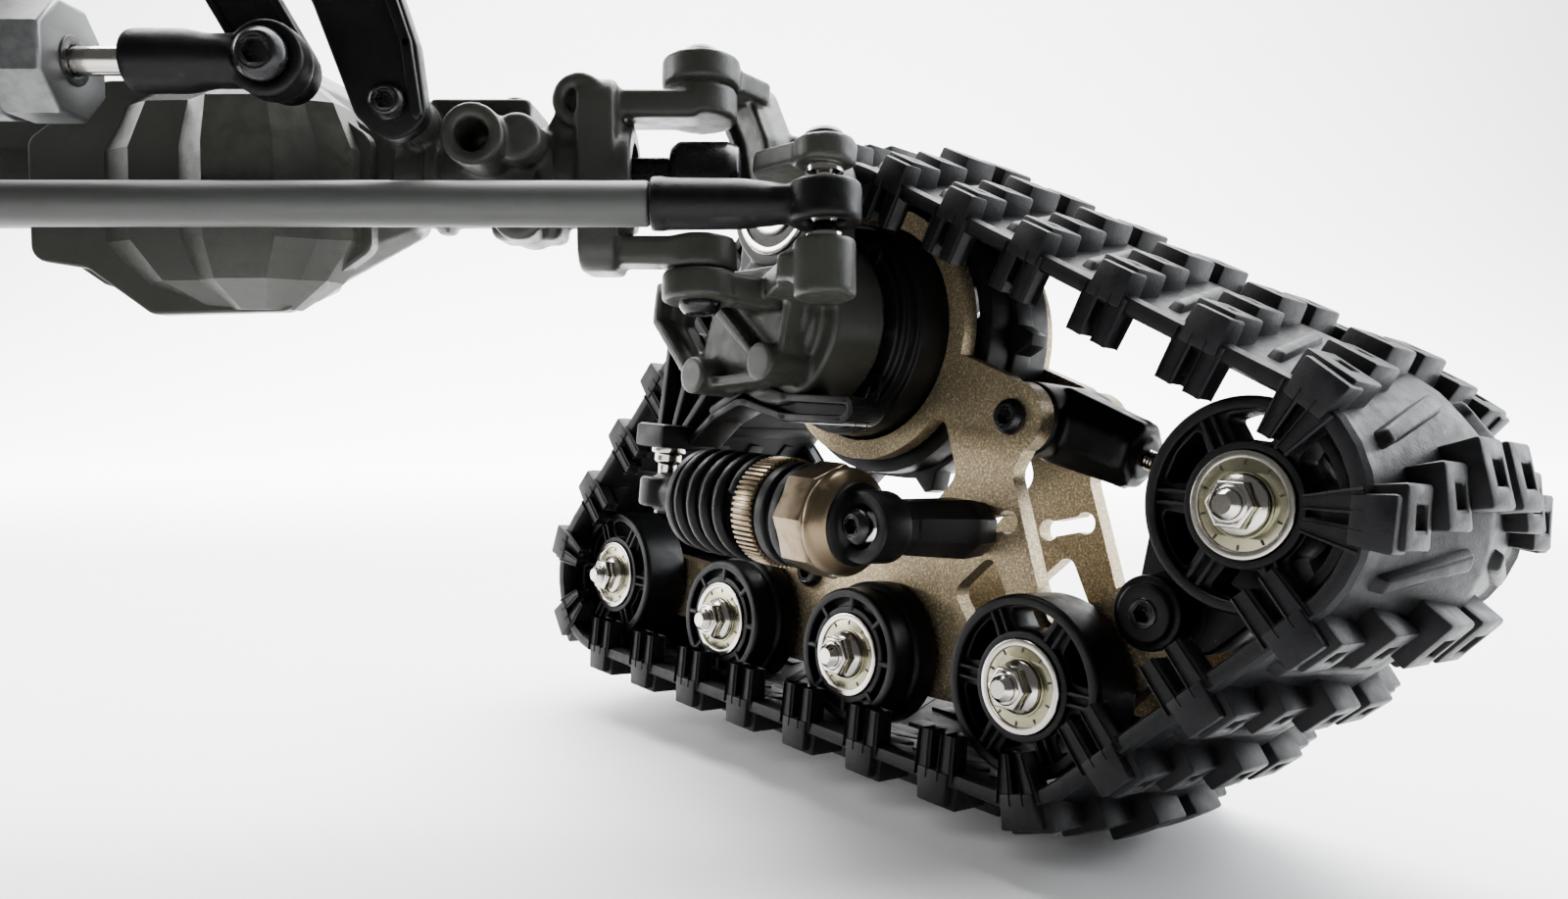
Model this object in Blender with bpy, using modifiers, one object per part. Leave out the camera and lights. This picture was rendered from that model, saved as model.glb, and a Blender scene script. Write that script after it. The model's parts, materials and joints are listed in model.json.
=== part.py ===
"""Front steering axle of a tracked crawler: portal knuckles, tie rod and two triangular track units.

World frame in metres: +X towards the vehicle's left, -Y forwards, +Z up.  The origin is the centre of the
flat pad on top of the axle housing.  Lengths below are in millimetres and become metres in the builders.
A track unit is modelled in its own axes, called u (forwards), v (up) and w (towards the vehicle's middle),
with their origin at the inner face of the front bottom roller.
"""
import math
import bpy
import bmesh
from mathutils import Matrix, Vector

MM = 0.001

# ---- driving dimensions: steering -------------------------------------------------------------------
KING_X = 78.0            # half the distance between the kingpins
AXLE_Z = -11.0           # axle centreline below the top pad
STEER = 40.9             # degrees both units are turned to the left at rest
CASTER = 7.57            # degrees the kingpins lean back
KING_U = -37.4           # kingpin crossing point in a unit's axes
KING_V = 56.5
KING_W = 23.1
FORK_RISE = 14.0         # fork arms above and below the axle centreline
BALL_Y = -23.2           # tie-rod ball from the kingpin, unsteered
BALL_Z = -4.9
DIFF_X = 21.0            # middle of the differential housing
COVER_BACK = -5.2        # flat front of the differential housing
COVER_Z = -14.4          # middle of the differential cover's dome
NOSE_REACH = 27.0        # end of the drive nose behind the axle centreline
TIE_R = 2.5
TIE_END = 19.0           # where the tie rod stops short of each ball
BOLT_X = 44.8            # bolt through the front bracket
DAMPER_Z = -2.5          # steering damper axis
DAMPER_Y = -21.8
DAMPER_EYE_X = -32.0
ARM_TIP_X = 34.5         # servo arm's pin in the damper's rod end
ARM_PIVOT_XY = (25.5, 0.0)
ARM_PIVOT_Z = 13.0

# ---- driving dimensions: track unit -----------------------------------------------------------------
MID_W = -17.5            # the unit's middle plane
HUB = (-37.4, 41.4)      # sprocket axis
IDLER = (24.3, 23.3)
ROLLERS = ((-85.1, 0.0), (-55.4, -2.2), (-28.1, -2.0), (0.0, 0.0))
ROLLER_R = (10.5, 8.75, 8.75, 10.5)
IDLER_R = 10.8
WHEEL_T = 7.4            # roller and idler width, each side
PLATE_W = (-8.0, -10.5)  # inner side plate
PLATE_T = 2.5
GAP = 0.3
WHEEL_SIDES = 14
AXLE_R = 1.5
SLEEVE_R = 2.6
PITCH = 12.2             # tread pitch
BELT_EDGE = 3.0
BELT_T = 2.0             # carcass thickness
CROWN = 3.5              # how far the belt's middle stands above its edges
BELT_GAP = 0.6           # belt above the roller rims
SPROCKET_BELT_R = 20.0
INNER_LUG = 3.6
OUTER_LUG = 2.8
LUG_WIDTH = 2.7          # width of the guide lugs at the belt's edges
CHEVRON = 5.0            # how far a tread bar's middle leads its ends
PIVOT = (11.6, 10.2)     # idler arm pivot
BOSS = (-10.7, 30.8)     # tensioner boss
POST = (-14.4, 16.4)     # shock post
SHOCK_W = 11.0
PIN_U = -56.4            # ball pin under the torque bracket
SHOCK_V = 16.4

for old in list(bpy.data.objects):
    bpy.data.objects.remove(old, do_unlink=True)

PARTS = bpy.data.collections.new("tracked_steering_axle")
CUTTERS = bpy.data.collections.new("cutters")
bpy.context.scene.collection.children.link(PARTS)
bpy.context.scene.collection.children.link(CUTTERS)


# ---- materials --------------------------------------------------------------------------------------
def material(name, colour, roughness, metallic):
    mat = bpy.data.materials.new(name)
    mat.use_nodes = True
    shader = mat.node_tree.nodes["Principled BSDF"]
    shader.inputs["Base Color"].default_value = (*colour, 1.0)
    shader.inputs["Roughness"].default_value = roughness
    shader.inputs["Metallic"].default_value = metallic
    return mat


GREY = material("grey_green_nylon", (0.090, 0.090, 0.075), 0.50, 0.0)
BLACK = material("black_nylon", (0.012, 0.012, 0.014), 0.42, 0.0)
RUBBER = material("track_rubber", (0.010, 0.010, 0.012), 0.62, 0.0)
BRONZE = material("blasted_bronze", (0.300, 0.230, 0.150), 0.45, 0.9)
STEEL = material("nickel_steel", (0.620, 0.590, 0.550), 0.22, 1.0)
ALLOY = material("satin_alloy", (0.160, 0.165, 0.155), 0.35, 0.9)


# ---- builders ---------------------------------------------------------------------------------------
def empty(name, parent=None, matrix=None):
    node = bpy.data.objects.new(name, None)
    PARTS.objects.link(node)
    node.parent = parent
    if matrix is not None:
        node.matrix_local = matrix
    return node


def adopt(name, mesh, mat, parent, at=(0, 0, 0), turn=(0, 0, 0)):
    """Puts a mesh in the scene under a parent, at a place in millimetres and a turn in degrees."""
    node = bpy.data.objects.new(name, mesh)
    node.parent = parent
    node.location = Vector(at) * MM
    node.rotation_euler = [math.radians(a) for a in turn]
    if mat is None:
        CUTTERS.objects.link(node)
        node.hide_render = True
        node.display_type = "WIRE"
    else:
        PARTS.objects.link(node)
        mesh.materials.append(mat)
    return node


def mesh_of(bm, name, smooth=True):
    bmesh.ops.recalc_face_normals(bm, faces=bm.faces)
    mesh = bpy.data.meshes.new(name)
    bm.to_mesh(mesh)
    bm.free()
    if smooth:
        mesh.shade_smooth()
        mesh.set_sharp_from_angle(angle=math.radians(35))
    return mesh


def box(name, size, mat, parent, at=(0, 0, 0), turn=(0, 0, 0)):
    bm = bmesh.new()
    bmesh.ops.create_cube(bm, size=1.0)
    bmesh.ops.scale(bm, vec=Vector(size) * MM, verts=bm.verts)
    return adopt(name, mesh_of(bm, name, False), mat, parent, at, turn)


def drum(name, r, z0, z1, mat, parent, at=(0, 0), turn=(0, 0, 0), sides=32, r_top=None):
    """A cylinder or cone along local Z from z0 to z1."""
    bm = bmesh.new()
    top = r if r_top is None else r_top
    depth = z1 - z0
    bmesh.ops.create_cone(bm, cap_ends=True, segments=sides, radius1=r * MM, radius2=top * MM, depth=depth * MM)
    bmesh.ops.translate(bm, vec=(0, 0, (z0 + depth / 2) * MM), verts=bm.verts)
    place = (at[0], at[1], at[2] if len(at) > 2 else 0.0)
    return adopt(name, mesh_of(bm, name), mat, parent, place, turn)


def turned(name, profile, mat, parent, at=(0, 0, 0), turn=(0, 0, 0), sides=32, ring=False):
    """A solid of revolution about local Z; the profile of (radius, height) runs down the outer side."""
    mesh = bpy.data.meshes.new(name)
    verts = [(r * MM, 0.0, z * MM) for r, z in profile]
    edges = [(i, i + 1) for i in range(len(verts) - 1)]
    if ring:
        edges.append((len(verts) - 1, 0))
    mesh.from_pydata(verts, edges, [])
    node = adopt(name, mesh, mat, parent, at, turn)
    screw = node.modifiers.new("turn", "SCREW")
    screw.axis = "Z"
    screw.steps = sides
    screw.render_steps = sides
    screw.use_merge_vertices = True
    screw.merge_threshold = 0.00005
    screw.use_smooth_shade = False
    return node


def slab(name, outline, z0, z1, mat, parent, at=(0, 0, 0), turn=(0, 0, 0)):
    """A flat outline in local XY, from height z0 to z1."""
    curve = bpy.data.curves.new(name, "CURVE")
    curve.dimensions = "2D"
    curve.fill_mode = "BOTH"
    curve.extrude = abs(z1 - z0) * MM / 2
    spline = curve.splines.new("POLY")
    spline.points.add(len(outline) - 1)
    for point, (x, y) in zip(spline.points, outline):
        point.co = (x * MM, y * MM, 0.0, 1.0)
    spline.use_cyclic_u = True
    guide = bpy.data.objects.new(name + "_outline", curve)
    bpy.context.scene.collection.objects.link(guide)
    depsgraph = bpy.context.evaluated_depsgraph_get()
    mesh = bpy.data.meshes.new_from_object(guide.evaluated_get(depsgraph))
    bpy.data.objects.remove(guide, do_unlink=True)
    bm = bmesh.new()
    bm.from_mesh(mesh)
    bpy.data.meshes.remove(mesh)
    bmesh.ops.remove_doubles(bm, verts=bm.verts, dist=0.000005)
    bmesh.ops.dissolve_limit(bm, angle_limit=0.01, verts=bm.verts, edges=bm.edges)
    bmesh.ops.translate(bm, vec=(0, 0, (z0 + z1) / 2 * MM), verts=bm.verts)
    return adopt(name, mesh_of(bm, name, False), mat, parent, at, turn)


def rounded(corners, steps=4):
    """Points round an outline whose corners are (x, y, radius)."""
    points = []
    count = len(corners)
    for i, (x, y, r) in enumerate(corners):
        here = Vector((x, y))
        back = (Vector(corners[i - 1][:2]) - here)
        ahead = (Vector(corners[(i + 1) % count][:2]) - here)
        if r <= 0:
            points.append((x, y))
            continue
        back.normalize()
        ahead.normalize()
        half = back.angle(ahead) / 2
        reach = r / math.tan(half)
        centre = here + (back + ahead).normalized() * (r / math.sin(half))
        start = here + back * reach - centre
        end = here + ahead * reach - centre
        sweep = start.angle_signed(end)
        for k in range(steps + 1):
            spoke = start.copy()
            spoke.rotate(Matrix.Rotation(-sweep * k / steps, 2))
            points.append(tuple(centre + spoke))
    return points


def capsule(a, b, r, steps=6):
    """Outline of a slot from a to b with round ends."""
    way = math.atan2(b[1] - a[1], b[0] - a[0])
    points = []
    for end, start in ((b, way - math.pi / 2), (a, way + math.pi / 2)):
        for k in range(steps + 1):
            angle = start + math.pi * k / steps
            points.append((end[0] + r * math.cos(angle), end[1] + r * math.sin(angle)))
    return points


def combine(node, tool, operation):
    modifier = node.modifiers.new(operation.lower(), "BOOLEAN")
    modifier.operation = operation
    modifier.solver = "EXACT"
    modifier.object = tool


def fuse(node, *tools):
    for tool in tools:
        combine(node, tool, "UNION")


def carve(node, *tools):
    for tool in tools:
        combine(node, tool, "DIFFERENCE")


# ---- belt -------------------------------------------------------------------------------------------
def belt_path():
    """Circles the belt runs round, and the outward normal angle at which it leaves each of them."""
    circles = [(ROLLERS[3], ROLLER_R[3] + BELT_GAP), (IDLER, IDLER_R + BELT_GAP)]
    circles += [(HUB, SPROCKET_BELT_R), (ROLLERS[0], ROLLER_R[0] + BELT_GAP)]
    leaving = []
    for i, (centre, r) in enumerate(circles):
        other, other_r = circles[(i + 1) % len(circles)]
        dx = other[0] - centre[0]
        dy = other[1] - centre[1]
        leaving.append(math.atan2(dy, dx) - math.acos((r - other_r) / math.hypot(dx, dy)))
    return circles, leaving


def belt_stretches():
    """The pitch line as arcs and straights: (kind, length, centre or start, radius or direction, angle)."""
    circles, leaving = belt_path()
    lift = BELT_T / 2
    stretches = []
    for i, (centre, r) in enumerate(circles):
        arrive = leaving[i - 1]
        leave = leaving[i]
        while leave < arrive:
            leave += 2 * math.pi
        stretches.append(("arc", (r + lift) * (leave - arrive), centre, r, arrive))
        other, other_r = circles[(i + 1) % len(circles)]
        start = (centre[0] + r * math.cos(leave), centre[1] + r * math.sin(leave))
        end = (other[0] + other_r * math.cos(leave), other[1] + other_r * math.sin(leave))
        stretches.append(("run", math.dist(start, end), start, end, leave))
    return stretches


def belt_point(stretches, s, height):
    """Point at arc length s along the pitch line, at a height above the belt's inner edge surface."""
    total = sum(item[1] for item in stretches)
    s = s % total
    for kind, length, a, b, angle in stretches:
        if s <= length:
            break
        s -= length
    if kind == "arc":
        angle += s / (b + BELT_T / 2)
        return (a[0] + (b + height) * math.cos(angle), a[1] + (b + height) * math.sin(angle))
    t = s / length
    x = a[0] + (b[0] - a[0]) * t
    y = a[1] + (b[1] - a[1]) * t
    return (x + height * math.cos(angle), y + height * math.sin(angle))


def crown_at(off):
    """How far the carcass stands above its edge, at a distance from the middle plane."""
    flat = BELT_EDGE - MID_W - LUG_WIDTH
    return CROWN * max(0.0, 1 - off / flat)


def belt_ring(stretches, s, lug):
    """One closed section of the belt at arc length s; lug is 1 on a tread bar and 0 between bars."""
    half = BELT_EDGE - MID_W
    flat = half - LUG_WIDTH
    outer = [(off, BELT_T + lug * OUTER_LUG) for off in (-half, 0.0, half)]
    inner = [(half, -lug * INNER_LUG), (flat, -lug * INNER_LUG), (flat, 0.0), (0.0, 0.0)]
    inner += [(-flat, 0.0), (-flat, -lug * INNER_LUG), (-half, -lug * INNER_LUG)]
    ring = []
    for off, rise in outer + inner:
        along = s + CHEVRON * (1 - abs(off) / half)
        height = crown_at(abs(off)) + rise
        ring.append((*belt_point(stretches, along, height), MID_W + off))
    return ring


def belt(name, parent):
    """The whole belt as a loft of sections along its path, four to each tread bar."""
    stretches = belt_stretches()
    total = sum(item[1] for item in stretches)
    lugs = round(total / PITCH)
    step = total / lugs
    bm = bmesh.new()
    rows = []
    for k in range(lugs):
        for share, lug in ((0.0, 0.05), (0.04, 1.0), (0.46, 1.0), (0.50, 0.05)):
            ring = belt_ring(stretches, (k + share) * step, lug)
            rows.append([bm.verts.new(Vector(point) * MM) for point in ring])
    for i, row in enumerate(rows):
        bm_next = rows[(i + 1) % len(rows)]
        for j, vert in enumerate(row):
            m = (j + 1) % len(row)
            bm.faces.new((vert, row[m], bm_next[m], bm_next[j]))
    return adopt(name, mesh_of(bm, name, False), RUBBER, parent)


# ---- track unit pieces ------------------------------------------------------------------------------
def side_plate(name, w0, parent):
    """One of the two bronze side plates; w0 is its inner face."""
    outline = rounded([
        (-90.0, -4.6, 4.4), (-56.0, -7.0, 6.0), (-28.0, -6.8, 6.0), (5.0, -5.4, 4.6), (15.6, 6.6, 4.2),
        (10.2, 15.0, 4.2), (-2.4, 9.0, 1.2), (-9.8, 24.0, 2.0), (-9.6, 30.8, 0.5), (-28.0, 40.0, 0.0),
        (-30.0, 31.0, 0.0), (-21.4, 29.6, 0.8), (-18.8, 22.8, 1.5), (-28.0, 12.0, 3.0), (-40.0, 10.6, 1.0),
        (-49.4, 10.6, 4.4), (-58.0, 3.2, 3.0), (-89.6, 4.6, 4.4)], 2)
    w1 = w0 - PLATE_T
    plate = slab(name, outline, w1, w0, BRONZE, parent)
    fuse(plate, drum(name + "_ring", 17.8, w1, w0, None, parent, HUB, sides=28))
    fuse(plate, drum(name + "_lobe", 4.6, w1, w0, None, parent, BOSS, sides=12))
    carve(plate, drum(name + "_eye", 15.2, w1 - 1, w0 + 1, None, parent, HUB, sides=28))
    window = rounded([(-17.6, 8.0, 1.5), (-12.0, 1.0, 1.5), (-7.4, 6.0, 1.2), (-11.8, 13.6, 1.2)], 1)
    carve(plate, slab(name + "_window", window, w1 - 1, w0 + 1, None, parent))
    slot = capsule((-15.6, 16.2), (-9.8, 17.8), 1.35, 3)
    carve(plate, slab(name + "_slot", slot, w1 - 1, w0 + 1, None, parent))
    for i, spot in enumerate((*ROLLERS, PIVOT)):
        bore = SLEEVE_R + 0.6 if i < len(ROLLERS) else 2.6
        carve(plate, drum(f"{name}_bore{i}", bore, w1 - 1, w0 + 1, None, parent, spot, sides=8))
    return plate


def wheel(name, centre, r, rim_r, stepped, parent):
    """A roller or the idler: two rims on one sleeve, which turns on the axle."""
    w0 = 0.0
    w1 = -WHEEL_T
    w2 = 2 * MID_W + WHEEL_T
    w3 = 2 * MID_W
    bore = AXLE_R + 0.3
    profile = [(bore, w0), (r, w0)]
    if stepped:
        profile += [(r, w0 - 2.2), (rim_r, w0 - 4.4)]
    profile += [(rim_r, w1), (SLEEVE_R, w1), (SLEEVE_R, w2), (rim_r, w2)]
    if stepped:
        profile += [(rim_r, w3 + 4.4), (r, w3 + 2.2)]
    profile += [(r, w3), (bore, w3)]
    node = turned(name, profile, BLACK, parent, (*centre, 0), sides=WHEEL_SIDES, ring=True)
    return node


def wheel_axle(name, centre, parent):
    """The through bolt of a wheel with a flanged nut on each end."""
    far = 2 * MID_W
    node = drum(name, AXLE_R, far - 3.8, 3.8, STEEL, parent, centre, sides=6)
    fuse(node, drum(name + "_nut_n", 2.9, GAP, 2.4, None, parent, centre, sides=6))
    fuse(node, drum(name + "_nut_f", 2.9, far - 2.4, far - GAP, None, parent, centre, sides=6))
    return node


def sprocket(name, parent):
    """The toothed drum between the plates, with the hub that passes out to the wheel nut."""
    w0 = PLATE_W[1] - 0.8
    w1 = 2 * MID_W - w0
    node = drum(name, 21.2, w1, w0, BLACK, parent, HUB, sides=30)
    carve(node, drum(name + "_dish", 18.5, w1 - 1, w1 + 3.0, None, parent, HUB, sides=20))
    fuse(node, drum(name + "_hub", 7.0, 2 * MID_W + 2.0, w0 + 0.2, None, parent, HUB, sides=14))
    for k in range(10):
        angle = 36 * k
        spot = (HUB[0] + 20.8 * math.cos(math.radians(angle)), HUB[1] + 20.8 * math.sin(math.radians(angle)))
        fuse(node, box(f"{name}_tooth{k}", (4.0, 3.2, 3.6), None, parent, (*spot, MID_W), (0, 0, angle)))
    return node


def idler_arm(name, parent):
    w0 = PLATE_W[1] - GAP
    w1 = 2 * MID_W - w0
    outline = rounded([
        (PIVOT[0] - 5.0, PIVOT[1] - 3.4, 3.6), (PIVOT[0] + 4.6, PIVOT[1] - 4.4, 3.6),
        (IDLER[0] + 6.4, IDLER[1] - 3.8, 5.0), (IDLER[0] + 0.6, IDLER[1] + 6.8, 5.0),
        (PIVOT[0] + 2.0, PIVOT[1] + 19.0, 2.0), (PIVOT[0] - 2.6, PIVOT[1] + 17.0, 1.0)], 3)
    node = slab(name, outline, w1, w0, BLACK, parent)
    rib = rounded([(PIVOT[0] + 1.6, PIVOT[1] + 5.6, 1.0), (IDLER[0] - 4.6, IDLER[1] - 3.6, 1.0),
                   (PIVOT[0] + 4.0, PIVOT[1] + 14.0, 1.0)], 1)
    carve(node, slab(name + "_rib_n", rib, w0 - 4.0, w0 + 1, None, parent))
    carve(node, slab(name + "_rib_f", rib, w1 - 1, w1 + 4.0, None, parent))
    fuse(node, drum(name + "_pin", 2.0, -29.0, -6.0, None, parent, PIVOT, sides=10))
    fuse(node, drum(name + "_cap_n", 4.2, -7.7, -5.2, None, parent, PIVOT, sides=14))
    fuse(node, drum(name + "_cap_f", 4.2, -29.8, -27.3, None, parent, PIVOT, sides=14))
    carve(node, drum(name + "_bore", SLEEVE_R + 0.4, -40.0, 5.0, None, parent, IDLER, sides=10))
    return node


def tensioner(name, parent):
    """Tapered screw block on the upper boss, its set screw pointing at the idler arm's heel."""
    w0 = PLATE_W[1] - GAP
    w1 = 2 * MID_W - w0
    way = math.degrees(math.atan2(-4.0, 14.2))
    node = drum(name, 4.8, w1, w0, BLACK, parent, BOSS, sides=16)
    turn = (0, 90, way)
    middle = (*BOSS, MID_W)
    fuse(node, drum(name + "_body", 5.4, 0.0, 13.6, None, parent, middle, turn, 16, 4.4))
    fuse(node, drum(name + "_tip", 1.5, 13.0, 15.6, None, parent, middle, turn, 12))
    return node


def shock_post(name, parent):
    """Post on the inner plate that carries the track shock's eye."""
    place = (*POST, 0)
    profile = [(0, SHOCK_W + 3.6), (1.9, SHOCK_W + 3.6), (1.9, SHOCK_W + 2.5), (1.4, SHOCK_W + 2.5)]
    profile += [(1.4, SHOCK_W - 3.6), (3.2, SHOCK_W - 3.6), (3.2, PLATE_W[0] + GAP), (0, PLATE_W[0] + GAP)]
    return turned(name, profile, BLACK, parent, place, sides=14)


def shock_body(name, parent):
    """Track shock body along -u from its eye on the post, with the preload ring."""
    frame = (*POST[:1], SHOCK_V, SHOCK_W)
    turn = (0, -90, 0)
    profile = [(1.8, 31.5), (4.6, 31.5), (4.6, 27.4), (6.9, 27.4), (6.9, 22.6), (5.4, 22.6), (5.4, 21.4)]
    profile += [(6.7, 21.4), (6.7, 6.4), (5.6, 5.0), (3.4, 4.4), (3.4, 2.0)]
    profile += [(1.2, 2.0), (1.2, 12.0), (1.8, 12.0)]
    node = turned(name, profile, BRONZE, parent, frame, turn, sides=14, ring=True)
    fuse(node, drum(name + "_eye", 4.0, -2.4, 2.2, None, parent, frame, sides=14))
    carve(node, drum(name + "_hole", 1.8, -5.0, 5.0, None, parent, frame, sides=14))
    return node


def shock_rod(name, parent):
    """Shaft, spring perch and rod end; the rod end's hole runs along v round the ball pin."""
    frame = (PIN_U, SHOCK_V, SHOCK_W)
    turn = (0, 90, 0)
    node = turned(name, [(0, 27.0), (1.4, 27.0), (1.4, 4.4), (5.8, 4.4), (5.8, 3.5), (2.2, 3.1), (2.2, 0.0),
                         (0, 0.0)], STEEL, parent, frame, turn, sides=14)
    fuse(node, drum(name + "_eye", 3.4, -2.0, 2.0, None, parent, frame, (90, 0, 0), 14))
    carve(node, drum(name + "_hole", 2.1, -4.0, 4.0, None, parent, frame, (90, 0, 0), 14))
    return node


def shock_spring(name, parent):
    """Coil round the shock, along u between the perch and the preload ring."""
    start = PIN_U + 4.4 + 1.1
    end = POST[0] - 27.4 - 1.1
    turns = 4.5
    around = 10
    count = int(turns * around)
    curve = bpy.data.curves.new(name, "CURVE")
    curve.dimensions = "3D"
    curve.bevel_depth = 0.8 * MM
    curve.bevel_resolution = 0
    curve.use_fill_caps = True
    spline = curve.splines.new("POLY")
    spline.points.add(count)
    for k, point in enumerate(spline.points):
        angle = 2 * math.pi * k / around
        u = start + (end - start) * k / count
        point.co = (u * MM, (SHOCK_V + 6.1 * math.cos(angle)) * MM, (SHOCK_W + 6.1 * math.sin(angle)) * MM, 1)
    node = bpy.data.objects.new(name, curve)
    node.parent = parent
    PARTS.objects.link(node)
    curve.materials.append(BLACK)
    return node


def torque_bracket(name, parent):
    """Ribbed black bracket under the portal that carries the ball pin."""
    w0 = 4.0
    w1 = 9.6
    outline = rounded([(-60.5, 38.6, 1.5), (-61.4, 23.6, 2.0), (-55.0, 22.9, 1.5), (-47.0, 27.0, 3.0),
                       (-36.0, 25.6, 4.0), (-18.4, 26.4, 2.0), (-18.0, 32.0, 1.0), (-24.0, 29.4, 1.0),
                       (-38.0, 29.2, 3.0), (-50.0, 33.0, 2.0), (-53.0, 38.8, 1.0)], 2)
    node = slab(name, outline, w0, w1, BLACK, parent)
    pocket = rounded([(-58.8, 36.6, 0.8), (-59.4, 25.4, 0.8), (-53.0, 30.4, 0.8), (-55.0, 36.6, 0.8)], 1)
    carve(node, slab(name + "_pocket", pocket, w1 - 2.2, w1 + 2, None, parent))
    carve(node, slab(name + "_pocket2", pocket, w0 - 2, w0 + 2.2, None, parent))
    fuse(node, box(name + "_foot", (5.8, 3.2, 9.6), None, parent, (PIN_U - 0.8, 24.8, 9.4)))
    fuse(node, drum(name + "_pin", 1.5, -8.0, 0.5, None, parent, (PIN_U, 23.0, SHOCK_W), (-90, 0, 0), 12))
    fuse(node, drum(name + "_head", 2.6, -10.6, -9.0, None, parent, (PIN_U, 23.0, SHOCK_W), (-90, 0, 0), 12))
    fuse(node, drum(name + "_neck", 1.5, -9.4, -7.6, None, parent, (PIN_U, 23.0, SHOCK_W), (-90, 0, 0), 12))
    return node


def portal_cover(name, parent):
    """Stepped black hub cover; the plates' rings turn round it."""
    profile = [(0, 0.4), (12.8, 0.4), (12.8, -1.2), (13.8, -1.2), (13.8, -2.8), (14.7, -2.8), (14.7, -9.4)]
    profile += [(0, -9.4)]
    return turned(name, profile, BLACK, parent, (*HUB, -0.7), sides=28)


def knuckle(name, parent):
    """Portal case with its kingpin fork and steering arm, moulded in one piece."""
    case_w = (0.2, 9.0)
    node = drum(name, 11.6, *case_w, GREY, parent, HUB, sides=26)
    top = (KING_U, KING_V)
    fuse(node, drum(name + "_input", 8.6, 3.8, 11.0, None, parent, top, sides=20))
    fuse(node, box(name + "_neck", (17.0, 14.0, 5.4), None, parent, (KING_U, 49.5, 6.6)))
    lean = CASTER
    arm_top = KING_V + FORK_RISE
    skew = math.tan(math.radians(lean))
    fuse(node, box(name + "_upper", (9.0, 3.4, 15.0), None, parent, (KING_U - FORK_RISE * skew, arm_top, 16.4)))
    fuse(node, drum(name + "_king_top", 4.6, 11.6, 15.2, None, parent, (KING_U, KING_V, KING_W),
                    (-90, 0, lean), 16))
    fuse(node, box(name + "_drop", (9.0, 17.0, 3.8), None, parent,
                   (KING_U - 1.2, KING_V + 7.2, 9.8), (-9, 0, 0)))
    fuse(node, box(name + "_lower", (9.0, 3.4, 16.0), None, parent,
                   (KING_U + FORK_RISE * skew, KING_V - FORK_RISE, 15.4)))
    fuse(node, drum(name + "_king_low", 4.6, -15.2, -11.6, None, parent, (KING_U, KING_V, KING_W),
                    (-90, 0, lean), 16))
    ball = (KING_U - BALL_Y, KING_V + BALL_Z, KING_W)
    upper_arm = rounded([(-11.6, 26.2, 2.4), (-11.6, 20.4, 2.4), (-23.0, 18.2, 2.0), (-28.6, 8.2, 1.0),
                         (-36.0, 8.2, 1.0), (-31.0, 19.0, 3.0), (-25.6, 24.6, 3.0)], 2)
    fuse(node, slab(name + "_arm_up", upper_arm, -ball[1] - 7.1, -ball[1] - 4.1, None, parent, (0, 0, 0),
                    (90, 0, 0)))
    fuse(node, drum(name + "_boss_up", 3.4, 4.1, 7.1, None, parent, ball, (-90, 0, 0), 14))
    lower_arm = rounded([(-11.4, 26.2, 2.4), (-11.2, 20.4, 2.4), (-24.6, 9.0, 2.0), (-36.0, 8.2, 1.0),
                         (-35.0, 14.0, 2.0), (-22.0, 22.4, 3.0), (-18.0, 26.0, 3.0)], 2)
    fuse(node, slab(name + "_arm_low", lower_arm, -ball[1] + 5.2, -ball[1] + 8.8, None, parent, (0, 0, 0),
                    (90, 0, 0)))
    fuse(node, drum(name + "_boss_low", 3.4, -10.4, -3.9, None, parent, ball, (-90, 0, 0), 14))
    fuse(node, drum(name + "_stud", 1.4, -5.0, 5.0, None, parent, ball, (-90, 0, 0), 12))
    fuse(node, box(name + "_web_root", (18.0, 14.0, 6.0), None, parent, (KING_U, 39.0, 10.4)))
    web = rounded([(-58.0, 46.0, 1.5), (-58.4, 40.2, 1.5), (-48.0, 31.4, 2.5), (-30.0, 32.6, 2.5),
                   (-28.0, 46.0, 1.5)], 2)
    fuse(node, slab(name + "_web", web, 9.9, 14.2, None, parent))
    hole = rounded([(-54.8, 42.6, 0.8), (-54.0, 40.2, 0.8), (-49.6, 36.0, 0.8), (-48.2, 42.6, 0.8)], 1)
    carve(node, slab(name + "_hole", hole, 8.0, 16.0, None, parent))
    for i, spot in enumerate(((-45.6, 33.2), (-31.8, 35.2))):
        fuse(node, drum(f"{name}_lug{i}", 2.6, 10.2, 16.0, None, parent, spot, sides=12))
    carve(node, drum(name + "_bore", 5.6, 6.5, 14.0, None, parent, top, sides=16))
    return node


def cv_cup(name, side, parent):
    """Universal joint cup between the axle tube and the knuckle."""
    profile = [(0, 5.0), (3.6, 4.4), (4.8, 2.0), (4.8, -3.0), (3.0, -4.0), (3.0, -13.5), (0, -13.5)]
    return turned(name, profile, STEEL, parent, (side * KING_X, 0, AXLE_Z), (0, 90 * side, 0), sides=16)


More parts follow.
